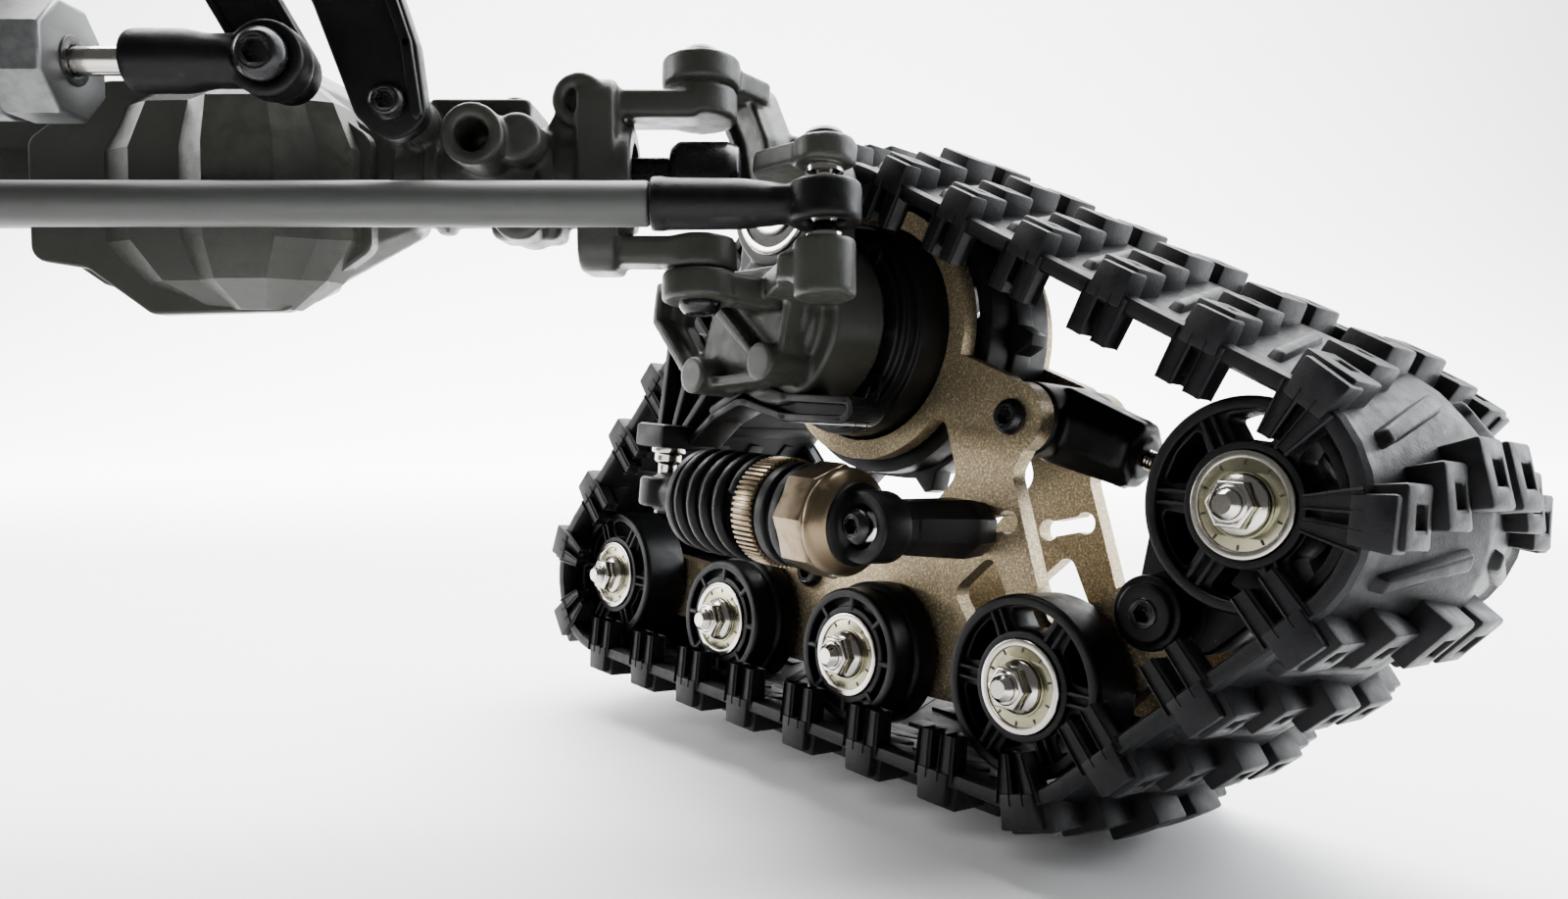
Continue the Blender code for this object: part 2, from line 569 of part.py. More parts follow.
# ---- axle pieces ------------------------------------------------------------------------------------
def axle_housing(name):
    """Differential housing, two tubes, top pad and the C-shaped hubs that hold the kingpins."""
    z = AXLE_Z
    node = drum(name, 5.8, -KING_X + 12.0, KING_X - 12.0, GREY, None, (0, 0, z), (0, 90, 0), 20)
    diff = (DIFF_X, 2.0, z)
    fuse(node, drum(name + "_bowl", 15.0, -9.0, 9.0, None, None, diff, (0, 90, 0), 12))
    fuse(node, drum(name + "_cone_l", 14.4, 8.0, 22.0, None, None, diff, (0, 90, 0), 12, 7.0))
    fuse(node, drum(name + "_cone_r", 7.0, -22.0, -8.0, None, None, diff, (0, 90, 0), 12, 14.4))
    fuse(node, drum(name + "_nose", 8.6, 0.0, NOSE_REACH, None, None, (DIFF_X, 0, z + 1.0),
                    (-90, 0, 0), 14, 6.4))
    carve(node, box(name + "_front", (46.0, 14.0, 40.0), None, None, (DIFF_X, COVER_BACK - 7.0, z)))
    fuse(node, box(name + "_pad", (22.0, 10.0, 9.0), None, None, (0, 0, -4.5)))
    for side in (-1, 1):
        fuse(node, box(f"{name}_seat{side}", (12.0, 12.0, 9.0), None, None, (side * 52.0, 1.0, -6.5)))
        x = side * (KING_X - 12.0)
        fuse(node, box(f"{name}_c_back{side}", (4.6, 15.0, 23.0), None, None, (x, 0, z)))
        for level in (-1, 1):
            skew = math.tan(math.radians(CASTER)) * 8.6 * level
            fuse(node, box(f"{name}_c_ear{side}{level}", (12.0, 9.0, 3.6), None, None,
                           (side * (KING_X - 6.0), skew, z + level * 8.6)))
            fuse(node, drum(f"{name}_c_boss{side}{level}", 4.4, level * 9.4 - 2.0, level * 9.4 + 2.0, None,
                            None, (side * KING_X, 0, z), (-CASTER, 0, 0), 14))
        carve(node, drum(f"{name}_bore{side}", 3.4, -16.0, 4.0, None, None, (side * KING_X, 0, z),
                         (0, 90 * side, 0), 20))
        fuse(node, drum(f"{name}_bracket_boss{side}", 2.6, 2.0, 13.1, None, None, (side * BOLT_X, 0, z + 5.7),
                        (90, 0, 0), 12))
        fuse(node, drum(f"{name}_link{side}", 3.6, 2.0, 13.1, None, None, (side * 53.0, 0, z + 3.0),
                        (90, 0, 0), 12))
        fuse(node, drum(f"{name}_eye{side}", 3.2, -3.0, 3.0, None, None, (side * 64.0, -3.0, z + 8.6),
                        (90, 0, 0), 12))
        fuse(node, box(f"{name}_eye_web{side}", (5.0, 3.4, 5.4), None, None, (side * 64.0, -3.0, z + 6.0)))
    return node


def diff_cover(name):
    """Faceted cover with its hexagonal flange, on the flat front of the differential housing."""
    lip = rounded([(0.0, -7.6, 2.0), (9.4, -1.0, 2.0), (31.0, -1.0, 2.0), (39.8, -7.2, 2.0), (39.8, -20.2, 2.0),
                   (29.8, -27.4, 2.0), (14.0, -27.8, 2.0), (6.6, -22.4, 2.0), (0.0, -21.4, 2.0)], 1)
    back = -COVER_BACK + GAP
    node = slab(name, lip, back, back + 2.6, GREY, None, (0, 0, 0), (90, 0, 0))
    domes = ((22.4, 14.4, 2.0, 7.0, 10.6), (26.0, 6.6, 6.6, 8.4, 4.8))
    for i, (x, wide, low, high, narrow) in enumerate(domes):
        fuse(node, drum(f"{name}_dome{i}", wide, back + low, back + high, None, None,
                        (x, 0, COVER_Z), (90, 0, 0), 8, narrow))
    return node


def input_flange(name):
    profile = [(0, 6.0), (4.6, 6.0), (4.6, 3.4), (3.0, 3.0), (3.0, 0.0), (0, 0.0)]
    return turned(name, profile, STEEL, None, (DIFF_X, NOSE_REACH + GAP, AXLE_Z + 1.0), (-90, 0, 0), sides=14)


def place_ball(side):
    """World position of a tie-rod ball at rest, in millimetres."""
    offset = steer_turn() @ Vector((0, BALL_Y, BALL_Z))
    return Vector((side * KING_X, 0, AXLE_Z)) + offset


def tie_rod(name):
    left = place_ball(1)
    length = 2 * KING_X
    return drum(name, TIE_R, -length + TIE_END, -TIE_END, ALLOY, None, tuple(left), (0, 90, 0), 16)


def rod_end(name, side):
    """Black rod end of the tie rod; its hole runs along the kingpin axis round the ball stud."""
    spot = place_ball(side)
    node = turned(name, [(0, TIE_END - GAP), (2.6, TIE_END - GAP), (2.9, 14.0), (2.4, 3.0), (0, 3.0)], BLACK, None,
                  tuple(spot), (0, -90 * side, 0), sides=16)
    lean = (-CASTER, 0, 0)
    fuse(node, drum(name + "_eye", 4.0, -2.6, 2.6, None, None, tuple(spot), lean, 16))
    carve(node, drum(name + "_hole", 1.75, -6.0, 6.0, None, None, tuple(spot), lean, 12))
    return node


def front_bracket(name):
    """Black plate bolted to the axle's left seat; the servo arm turns on its upper end."""
    y0 = -13.4
    outline = rounded([(41.0, -6.6, 3.0), (44.6, -10.2, 3.0), (49.0, -7.4, 3.0), (48.0, 1.0, 2.0),
                       (45.4, 9.0, 3.0), (43.4, 19.0, 2.0), (24.0, 19.0, 3.0), (20.0, 12.0, 3.0),
                       (36.0, 7.0, 4.0)], 2)
    node = slab(name, outline, 0.0, 2.6, BLACK, None, (0, y0, 0), (90, 0, 0))
    fuse(node, drum(name + "_stub", 1.6, 15.0, 19.4, None, None, (*ARM_PIVOT_XY, ARM_PIVOT_Z), (90, 0, 0), 10))
    return node


def damper_mount(name):
    """Black post on the axle tube that holds the damper's fixed eye."""
    node = box(name, (6.0, 10.0, 4.0), BLACK, None, (DAMPER_EYE_X, -11.2, AXLE_Z + 3.0))
    fuse(node, box(name + "_riser", (6.0, 3.0, 13.0), None, None, (DAMPER_EYE_X, -14.9, AXLE_Z + 7.4)))
    fuse(node, drum(name + "_stub", 1.6, 14.0, 22.0, None, None, (DAMPER_EYE_X, 0, DAMPER_Z), (90, 0, 0), 12))
    return node


def servo_arm(name):
    """Arm from its pivot on the bracket down to the damper's rod end."""
    start = (ARM_PIVOT_XY[0], ARM_PIVOT_Z)
    outline = capsule(start, (ARM_TIP_X, DAMPER_Z), 3.4)
    node = slab(name, outline, 16.4, 18.6, BLACK, None, (0, 0, 0), (90, 0, 0))
    carve(node, drum(name + "_hole", 1.95, 15.0, 20.0, None, None, (start[0], 0, start[1]), (90, 0, 0), 12))
    fuse(node, drum(name + "_pin", 1.5, 18.0, 23.6, None, None, (ARM_TIP_X, 0, DAMPER_Z), (90, 0, 0), 12))
    return node


def damper_body(name):
    profile = [(1.9, 46.0), (6.1, 46.0), (6.1, 12.0), (4.6, 11.0), (2.0, 10.0), (2.0, 2.6), (0.6, 2.6)]
    profile += [(0.6, 14.0), (1.9, 14.0)]
    place = (DAMPER_EYE_X, DAMPER_Y, DAMPER_Z)
    node = turned(name, profile, ALLOY, None, place, (0, 90, 0), sides=16, ring=True)
    fuse(node, drum(name + "_eye", 3.4, -2.0, 2.0, None, None, place, (90, 0, 0), 14))
    carve(node, drum(name + "_hole", 2.0, -5.0, 5.0, None, None, place, (90, 0, 0), 12))
    return node


def damper_rod(name):
    place = (ARM_TIP_X, DAMPER_Y, DAMPER_Z)
    profile = [(0, 40.0), (1.5, 40.0), (1.5, 12.6), (3.0, 12.0), (2.6, 0.0), (0, 0.0)]
    node = turned(name, profile, STEEL, None, place, (0, -90, 0), sides=14)
    fuse(node, drum(name + "_eye", 3.8, -1.9, 1.9, None, None, place, (90, 0, 0), 14))
    carve(node, drum(name + "_hole", 1.95, -5.0, 5.0, None, None, place, (90, 0, 0), 12))
    return node


def steer_turn():
    axis = Vector((0, math.sin(math.radians(CASTER)), math.cos(math.radians(CASTER))))
    return Matrix.Rotation(math.radians(STEER), 3, axis)


def unit_frame(side):
    """Empty at a kingpin, steered and mirrored for the right side, and an empty with a unit's axes."""
    tag = "l" if side > 0 else "r"
    steered = Matrix.Translation(Vector((side * KING_X, 0, AXLE_Z)) * MM) @ steer_turn().to_4x4()
    mirrored = Matrix.Diagonal((side, 1, 1, 1))
    king = empty("kingpin_" + tag, None, steered @ mirrored)
    axes = Matrix(((0, 0, -1, 0), (-1, 0, 0, 0), (0, 1, 0, 0), (0, 0, 0, 1)))
    origin = Matrix.Translation(Vector((KING_W, KING_U, -KING_V)) * MM)
    return empty("unit_" + tag, king, origin @ axes), tag


def track_unit(side):
    parent, tag = unit_frame(side)
    knuckle("knuckle_" + tag, parent)
    portal_cover("portal_cover_" + tag, parent)
    torque_bracket("torque_bracket_" + tag, parent)
    side_plate("plate_inner_" + tag, PLATE_W[0], parent)
    side_plate("plate_outer_" + tag, 2 * MID_W - PLATE_W[1], parent)
    sprocket("sprocket_" + tag, parent)
    idler_arm("idler_arm_" + tag, parent)
    tensioner("tensioner_" + tag, parent)
    wheel("idler_" + tag, IDLER, IDLER_R, IDLER_R, False, parent)
    wheel_axle("idler_axle_" + tag, IDLER, parent)
    for i, centre in enumerate(ROLLERS):
        stepped = i in (1, 2)
        rim = 9.7 if stepped else ROLLER_R[i]
        wheel(f"roller{i + 1}_{tag}", centre, ROLLER_R[i], rim, stepped, parent)
        wheel_axle(f"roller{i + 1}_axle_{tag}", centre, parent)
    belt("belt_" + tag, parent)
    shock_post("shock_post_" + tag, parent)
    shock_body("shock_body_" + tag, parent)
    shock_rod("shock_rod_" + tag, parent)
    shock_spring("shock_spring_" + tag, parent)
    cv_cup("cv_cup_" + tag, side, None)
    rod_end("tie_rod_end_" + tag, side)


axle_housing("axle_housing")
diff_cover("diff_cover")
input_flange("input_flange")
tie_rod("tie_rod")
front_bracket("front_bracket")
damper_mount("damper_mount")
servo_arm("servo_arm")
damper_body("damper_body")
damper_rod("damper_rod")
for unit_side in (1, -1):
    track_unit(unit_side)
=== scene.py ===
import json
from math import acos, atan2, cos, dist, hypot, pi, radians, sin, sqrt, tan

import bmesh
import bpy
from mathutils import Matrix, Vector


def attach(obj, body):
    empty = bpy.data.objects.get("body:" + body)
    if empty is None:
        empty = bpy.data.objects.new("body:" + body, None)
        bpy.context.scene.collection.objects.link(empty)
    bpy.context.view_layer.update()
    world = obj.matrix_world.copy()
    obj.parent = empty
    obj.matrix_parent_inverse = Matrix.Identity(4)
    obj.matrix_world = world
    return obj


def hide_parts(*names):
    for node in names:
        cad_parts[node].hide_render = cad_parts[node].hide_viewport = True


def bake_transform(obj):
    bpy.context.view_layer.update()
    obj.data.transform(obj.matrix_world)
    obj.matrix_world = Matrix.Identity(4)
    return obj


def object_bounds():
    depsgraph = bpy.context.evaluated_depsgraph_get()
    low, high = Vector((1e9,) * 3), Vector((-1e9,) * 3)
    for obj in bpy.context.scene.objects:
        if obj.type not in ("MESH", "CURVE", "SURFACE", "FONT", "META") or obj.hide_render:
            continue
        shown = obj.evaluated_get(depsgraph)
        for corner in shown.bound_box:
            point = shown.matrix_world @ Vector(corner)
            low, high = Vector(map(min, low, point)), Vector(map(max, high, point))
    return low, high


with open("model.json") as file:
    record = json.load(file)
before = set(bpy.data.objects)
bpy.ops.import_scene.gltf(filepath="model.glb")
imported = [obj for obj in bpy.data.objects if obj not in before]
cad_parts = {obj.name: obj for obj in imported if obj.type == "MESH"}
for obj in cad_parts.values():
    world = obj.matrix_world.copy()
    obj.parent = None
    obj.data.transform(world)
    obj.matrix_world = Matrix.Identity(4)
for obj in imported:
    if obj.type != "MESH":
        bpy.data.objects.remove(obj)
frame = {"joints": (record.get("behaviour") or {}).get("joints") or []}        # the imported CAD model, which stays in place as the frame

CAD_BOX = [list(corner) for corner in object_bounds()]
MM = 0.001
JOINTS = {joint["name"]: joint for joint in frame["joints"]}
HERE = Matrix.Identity(4)
shift = Matrix.Translation
rotate = Matrix.Rotation
FAR_FLIP = rotate(pi, 4, "X")
STAND = rotate(pi / 2, 4, "X")
SIDES = ((1, "l", "left"), (-1, "r", "right"))

# ---- driving dimensions, in millimetres -------------------------------------------------------------
KING_U = -37.4           # kingpin crossing point in a track unit's axes u, v, w
KING_V = 56.5
KING_W = 23.1
MID_W = -17.5            # the unit's middle plane
ROLLER_R = (10.5, 8.75, 8.75, 10.5)
IDLER_R = 10.8
WHEEL_T = 7.4
PLATE_W = (-8.0, -10.5)
PLATE_T = 2.5
PITCH = 12.2
BELT_HALF = 20.5
BELT_T = 2.0
CROWN = 3.5
BELT_GAP = 0.6
SPROCKET_BELT_R = 20.0
INNER_LUG = 3.6
LUG_WIDTH = 2.7
CHEVRON = 5.0
PIVOT = (11.6, 10.2)
BOSS = (-10.7, 30.8)
POST = (-14.4, 16.4)
SHOCK_W = 11.0
SHOCK_V = 16.4
PIN_U = -56.4
CASTER = 7.57
BALL_Y = -23.2
BALL_Z = -4.9
COVER_BACK = -5.2        # flat front of the differential housing
BOLT_X = 44.8
ARM_TIP_X = 34.5
ARM_PIVOT = (25.5, 13.0)
DAMPER_EYE_X = -32.0
DAMPER_Y = -21.8
DAMPER_Z = -2.5


def joint_spot(name):
    return Vector(JOINTS[name]["pos_m"]) / MM


KING = joint_spot("steer_left")
AXLE_Z = KING.z
DIFF_X = joint_spot("input_spin").x


def steer_turn():
    """Rotation of both track units about their kingpins at rest, read from the joints' own axes."""
    king_axis = Vector(JOINTS["steer_left"]["axis"])
    across = Vector((1, 0, 0))
    wheel_axis = Vector(JOINTS["sprocket_spin_left"]["axis"])
    angle = atan2(king_axis.dot(across.cross(wheel_axis)), across.dot(wheel_axis))
    return rotate(angle, 4, king_axis)


def unit_matrix(side):
    """From a track unit's own axes in millimetres to the row frame in millimetres."""
    king = joint_spot("steer_left" if side > 0 else "steer_right")
    local = Matrix(((0, 0, -side, side * KING_W), (-1, 0, 0, KING_U), (0, 1, 0, -KING_V), (0, 0, 0, 1)))
    return shift(king) @ steer_turn() @ local


TO_UNIT = unit_matrix(1).inverted()


def unit_spot(joint):
    point = TO_UNIT @ joint_spot(joint)
    return (point.x, point.y)


HUB = unit_spot("sprocket_spin_left")
IDLER = unit_spot("idler_spin_left")
ROLLERS = [unit_spot(f"roller{i}_spin_left") for i in (1, 2, 3, 4)]


def placed(name, data):
    """A new object in the scene that shows some data."""
    thing = bpy.data.objects.new(name, data)
    bpy.context.scene.collection.objects.link(thing)
    return thing


# ---- camera, light and floor ------------------------------------------------------------------------
def place_camera():
    data = bpy.data.cameras.new("camera")
    data.sensor_width = 36.0
    data.lens = 26.68
    data.clip_start = 0.01
    camera = placed("camera", data)
    right = Vector((1.0, -0.0042, 0.0001)).normalized()
    ahead = Vector((0.0042, 0.9988, -0.049)).normalized()
    up = right.cross(ahead).normalized()
    matrix = Matrix((right, up, -ahead)).transposed().to_4x4()
    matrix.translation = Vector((0.0877, -0.1455, -0.0371))
    camera.matrix_world = matrix
    bpy.context.scene.camera = camera


def softbox(name, at, aim, size, power, tint=(1.0, 1.0, 1.0)):
    data = bpy.data.lights.new(name, "AREA")
    data.shape = "RECTANGLE"
    data.size = size[0]
    data.size_y = size[1]
    data.energy = power
    data.color = tint
    light = placed(name, data)
    light.location = at
    light.rotation_euler = (Vector(aim) - Vector(at)).to_track_quat("-Z", "Y").to_euler()


def studio():
    """White sweep behind the object, lit mostly from above and behind, under a dim white sky."""
    world = bpy.data.worlds.new("studio")
    world.use_nodes = True
    back = world.node_tree.nodes["Background"]
    back.inputs["Color"].default_value = (0.97, 0.98, 1.0, 1.0)
    back.inputs["Strength"].default_value = 0.15
    bpy.context.scene.world = world
    softbox("top_light", (0.10, 0.45, 0.80), (0.05, 0, -0.05), (1.2, 0.8), 62.0)
    softbox("left_light", (-0.76, 0.17, 0.24), (0.02, 0, -0.01), (0.30, 0.50), 9.0)
    softbox("right_light", (0.65, 0.15, 0.30), (0.12, 0, -0.04), (0.4, 0.7), 12.0, (0.92, 0.96, 1.0))
    softbox("sweep_light", (0.0, 0.55, 0.60), (0.0, 1.4, 0.2), (2.4, 0.6), 150.0)
    bm = bmesh.new()
    level = CAD_BOX[0][2]
    profile = [(-8.0, 0.0), (0.8, 0.0)]
    profile += [(0.8 + sin(a), 1.0 - cos(a)) for a in (pi / 2 * k / 24 for k in range(1, 25))]
    profile.append((1.8, 3.0))
    for k, (y, z) in enumerate(profile):
        row = [bm.verts.new((x, y, level + z)) for x in (-8.0, 8.0)]
        if k:
            bm.faces.new((last[0], last[1], row[1], row[0]))
        last = row
    mesh = bpy.data.meshes.new("floor")
    bm.to_mesh(mesh)
    bm.free()
    mesh.shade_smooth()
    floor = placed("floor", mesh)
    paper = bpy.data.materials.new("floor_paper")
    paper.use_nodes = True
    tree = paper.node_tree
    shader = tree.nodes["Principled BSDF"]
    shader.inputs["Roughness"].default_value = 0.5
    fibre = tree.nodes.new("ShaderNodeTexNoise")
    fibre.inputs["Scale"].default_value = 900.0
    shade = tree.nodes.new("ShaderNodeMapRange")
    shade.inputs["To Min"].default_value = 0.90
    shade.inputs["To Max"].default_value = 0.94
    tree.links.new(fibre.outputs["Fac"], shade.inputs["Value"])
    tree.links.new(shade.outputs["Result"], shader.inputs["Base Color"])
    mesh.materials.append(paper)


place_camera()
studio()


# ---- materials --------------------------------------------------------------------------------------
def node(tree, kind, **values):
    made = tree.nodes.new(kind)
    for name, value in values.items():
        made.inputs[name.replace("_", " ")].default_value = value
    return made


def noise_at(tree, coords, size_mm, detail=3.0, stretch=(1.0, 1.0, 1.0)):
    """Noise whose cells are about size_mm across."""
    place = node(tree, "ShaderNodeMapping")
    place.inputs["Scale"].default_value = stretch
    tree.links.new(coords.outputs["Object"], place.inputs["Vector"])
    cloud = node(tree, "ShaderNodeTexNoise", Scale=1.0 / (size_mm * MM), Detail=detail, Roughness=0.6)
    tree.links.new(place.outputs["Vector"], cloud.inputs["Vector"])
    return cloud


def spread(tree, source, low, high, start=0.3, end=0.7):
    ramp = node(tree, "ShaderNodeMapRange", From_Min=start, From_Max=end, To_Min=low, To_Max=high)
    tree.links.new(source, ramp.inputs["Value"])
    return ramp.outputs["Result"]


def blend_colour(tree, factor, first, second):
    mix = tree.nodes.new("ShaderNodeMix")
    mix.data_type = "RGBA"
    tree.links.new(factor, mix.inputs[0])
    for socket, colour in ((mix.inputs[6], first), (mix.inputs[7], second)):
        if isinstance(colour, tuple):
            socket.default_value = (*colour, 1.0)
        else:
            tree.links.new(colour, socket)
    return mix.outputs[2]


def surface(name, base, patch, worn, rough, grain_mm, bump_mm, metallic=0.0, patch_mm=6.0, painted_sparkle=0.0,
            stretch=(1.0, 1.0, 1.0), shine=0.5, dust=0.0, rub_from=0.54):
    """A finish: cloudy base colour, worn edges, optional painted glint and pit-shade speckles, grain in its
    roughness and a grain-sized bump.
    """
    mat = bpy.data.materials.new(name)
    mat.use_nodes = True
    tree = mat.node_tree
    shader = tree.nodes["Principled BSDF"]
    shader.inputs["Metallic"].default_value = metallic
    shader.inputs["Specular IOR Level"].default_value = shine
    coords = tree.nodes.new("ShaderNodeTexCoord")
    cloud = noise_at(tree, coords, patch_mm)
    grain = noise_at(tree, coords, grain_mm, 4.0, stretch)
    smear = noise_at(tree, coords, 1.6, 5.0, stretch)
    colour = blend_colour(tree, spread(tree, cloud.outputs["Fac"], 0.0, 1.0), base, patch)
    # painted sparkle: the lighter speckles are painted glints and the darker ones painted shade in the pits
    # of a blasted surface
    if painted_sparkle:
        painted_glint = blend_colour(tree, spread(tree, grain.outputs["Fac"], 0.0, painted_sparkle, 0.52, 0.68), colour,
                             tuple(min(1.0, c * 2.4) for c in base))
        painted_pit_shade = spread(tree, grain.outputs["Fac"], painted_sparkle * 0.7, 0.0, 0.34, 0.46)
        colour = blend_colour(tree, painted_pit_shade, painted_glint, tuple(c * 0.45 for c in base))
    if dust:
        powder = noise_at(tree, coords, 2.2, 6.0)
        colour = blend_colour(tree, spread(tree, powder.outputs["Fac"], 0.0, dust, 0.55, 0.8), colour,
                              (0.11, 0.11, 0.12))
    edges = tree.nodes.new("ShaderNodeNewGeometry")
    rub = spread(tree, edges.outputs["Pointiness"], 0.0, 1.0, rub_from, rub_from + 0.08)
    rubbed = tree.nodes.new("ShaderNodeMath")
    rubbed.operation = "MULTIPLY"
    tree.links.new(rub, rubbed.inputs[0])
    tree.links.new(spread(tree, smear.outputs["Fac"], 0.15, 0.9, 0.35, 0.6), rubbed.inputs[1])
    colour = blend_colour(tree, rubbed.outputs[0], colour, worn)
    tree.links.new(colour, shader.inputs["Base Color"])
    vary = 0.03 if metallic > 0.5 else 0.10
    tree.links.new(spread(tree, smear.outputs["Fac"], rough - vary, rough + vary), shader.inputs["Roughness"])
    bump = node(tree, "ShaderNodeBump", Strength=0.8, Distance=bump_mm * MM)
    tree.links.new(grain.outputs["Fac"], bump.inputs["Height"])
    tree.links.new(bump.outputs["Normal"], shader.inputs["Normal"])
    return mat


GREY = surface("grey_nylon_finish", (0.023, 0.024, 0.0195), (0.019, 0.020, 0.016),
               (0.062, 0.062, 0.052), 0.38, 0.22, 0.05, shine=0.24)
BLACK = surface("black_nylon_finish", (0.0026, 0.0026, 0.0029), (0.0018, 0.0018, 0.0020),
                (0.012, 0.012, 0.013), 0.38, 0.20, 0.04, shine=0.14)
RUBBER = surface("rubber_finish", (0.0030, 0.0031, 0.0036), (0.0020, 0.0020, 0.0024), (0.013, 0.013, 0.015),
                 0.46, 0.30, 0.05, shine=0.14, dust=0.02)
# the blasted plates get painted glints and painted pit shade speckled into their colour
BRONZE = surface("bronze_finish", (0.265, 0.210, 0.128), (0.250, 0.198, 0.121), (0.400, 0.330, 0.225), 0.43,
                 0.30, 0.07, metallic=0.85, patch_mm=14.0, painted_sparkle=1.0, rub_from=1.5)
BRONZE_TURNED = surface("bronze_turned_finish", (0.160, 0.120, 0.074), (0.150, 0.112, 0.069),
                        (0.330, 0.260, 0.175), 0.30, 0.12, 0.006, metallic=0.95, patch_mm=9.0)
NICKEL = surface("nickel_finish", (0.560, 0.530, 0.485), (0.500, 0.470, 0.430), (0.780, 0.750, 0.710), 0.17,
                 0.15, 0.006, metallic=1.0)
SHIELD = surface("shield_finish", (0.300, 0.285, 0.190), (0.265, 0.250, 0.165), (0.520, 0.500, 0.390), 0.24,
                 0.15, 0.008, metallic=1.0)
SATIN = surface("satin_alloy_finish", (0.058, 0.060, 0.057), (0.053, 0.055, 0.052),
                (0.130, 0.130, 0.120), 0.50, 0.14, 0.010, metallic=0.40, stretch=(0.1, 1.0, 1.0), shine=0.3)
SILVER = surface("silver_alloy_finish", (0.105, 0.109, 0.109), (0.097, 0.100, 0.100), (0.240, 0.240, 0.240),
                 0.40, 0.14, 0.010, metallic=0.85)
SCREW = surface("black_screw_finish", (0.008, 0.008, 0.009), (0.006, 0.006, 0.007),
                (0.045, 0.043, 0.042), 0.28, 0.15, 0.010, metallic=0.50)


# ---- mesh builders: every one returns a mesh in millimetres -----------------------------------------
def along(axis, at=(0, 0, 0)):
    """Matrix that puts local Z along an axis, starting at a point."""
    turn = Vector(axis).to_track_quat("Z", "Y").to_matrix().to_4x4()
    return shift(at) @ turn


def at_spot(spot, w=0.0):
    return shift((spot[0], spot[1], w))


def to_mesh(bm):
    bmesh.ops.remove_doubles(bm, verts=bm.verts, dist=0.0005)
    bmesh.ops.dissolve_degenerate(bm, edges=bm.edges, dist=0.0002)
    bmesh.ops.recalc_face_normals(bm, faces=bm.faces)
    mesh = bpy.data.meshes.new("shape")
    bm.to_mesh(mesh)
    bm.free()
    return mesh


def baked(guide):
    """The mesh that a curve or a modified object makes; the object itself goes."""
    mesh = bpy.data.meshes.new_from_object(guide.evaluated_get(bpy.context.evaluated_depsgraph_get()))
    bpy.data.objects.remove(guide, do_unlink=True)
    return mesh


CORNER_STEPS = 3


def soft(profile, radius=0.3, closed=False):
    """Rounds the corners of a profile of (radius, height) points."""
    points = []
    last = len(profile) - 1
    for i, here in enumerate(profile):
        if not closed and i in (0, last):
            points.append(here)
            continue
        corner = Vector(here)
        before = Vector(profile[i - 1]) - corner
        after = Vector(profile[(i + 1) % len(profile)]) - corner
        reach_in = min(radius, before.length * 0.45)
        reach_out = min(radius, after.length * 0.45)
        start = corner + before.normalized() * reach_in
        end = corner + after.normalized() * reach_out
        for k in range(CORNER_STEPS + 1):
            t = k / CORNER_STEPS
            points.append(tuple(start * (1 - t) ** 2 + corner * 2 * t * (1 - t) + end * t ** 2))
    return points


def lathe(profile, at=HERE, sides=72, closed=False, phase=0.0):
    """A turned shape about local Z."""
    bm = bmesh.new()
    rows = []
    for k in range(sides):
        angle = phase + 2 * pi * k / sides
        spin = (cos(angle), sin(angle))
        rows.append([bm.verts.new(at @ Vector((r * spin[0], r * spin[1], z))) for r, z in profile])
    spans = len(profile) if closed else len(profile) - 1
    for k, row in enumerate(rows):
        beside = rows[(k + 1) % sides]
        for j in range(spans):
            m = (j + 1) % len(profile)
            bm.faces.new((row[j], beside[j], beside[m], row[m]))
    if not closed:
        for j in (0, -1):
            if profile[j][0] > 0.001:
                bm.faces.new([row[j] for row in rows])
    return to_mesh(bm)


def turned(profile, edge, at=HERE, sides=72, phase=0.0):
    """A turned shape with rounded corners; its profile starts and ends on the axis."""
    return lathe(soft(profile, edge), at, sides, phase=phase)


def hoop(profile, edge, at=HERE, sides=72):
    """A ring turned from a closed profile with rounded corners."""
    return lathe(soft(profile, edge, True), at, sides, True)


def plate(outlines, z0, z1, bevel=0.25, at=HERE, steps=2):
    """A flat shape in local XY from z0 to z1 with rounded rims; outlines after the first are holes."""
    curve = bpy.data.curves.new("outline", "CURVE")
    curve.dimensions = "2D"
    curve.fill_mode = "BOTH"
    curve.extrude = abs(z1 - z0) / 2 - bevel
    curve.bevel_depth = bevel
    curve.bevel_resolution = steps
    curve.offset = -bevel
    for outline in outlines:
        spline = curve.splines.new("POLY")
        spline.points.add(len(outline) - 1)
        for point, (x, y) in zip(spline.points, outline):
            point.co = (x, y, 0.0, 1.0)
        spline.use_cyclic_u = True
    bm = bmesh.new()
    bm.from_mesh(baked(placed("outline", curve)))
    bmesh.ops.transform(bm, matrix=at @ shift((0, 0, (z0 + z1) / 2)), verts=bm.verts)
    return to_mesh(bm)


def brick(size, at=HERE, bevel=0.4, segments=2):
    """A block with rounded edges."""
    bm = bmesh.new()
    bmesh.ops.create_cube(bm, size=1.0)
    for vert in bm.verts:
        vert.co = Vector((vert.co.x * size[0], vert.co.y * size[1], vert.co.z * size[2]))
    if bevel:
        bmesh.ops.bevel(bm, geom=bm.edges[:], offset=bevel, segments=segments, profile=0.5, affect="EDGES")
    bmesh.ops.transform(bm, matrix=at, verts=bm.verts)
    return to_mesh(bm)


def tube(points, r):
    """A round wire through points."""
    curve = bpy.data.curves.new("wire", "CURVE")
    curve.dimensions = "3D"
    curve.bevel_depth = r
    curve.bevel_resolution = 3
    curve.use_fill_caps = True
    spline = curve.splines.new("POLY")
    spline.points.add(len(points) - 1)
    for point, spot in zip(spline.points, points):
        point.co = (*spot, 1.0)
    return baked(placed("wire", curve))


def join(*meshes):
    bm = bmesh.new()
    for mesh in meshes:
        bm.from_mesh(mesh)
    made = bpy.data.meshes.new("joined")
    bm.to_mesh(made)
    bm.free()
    return made


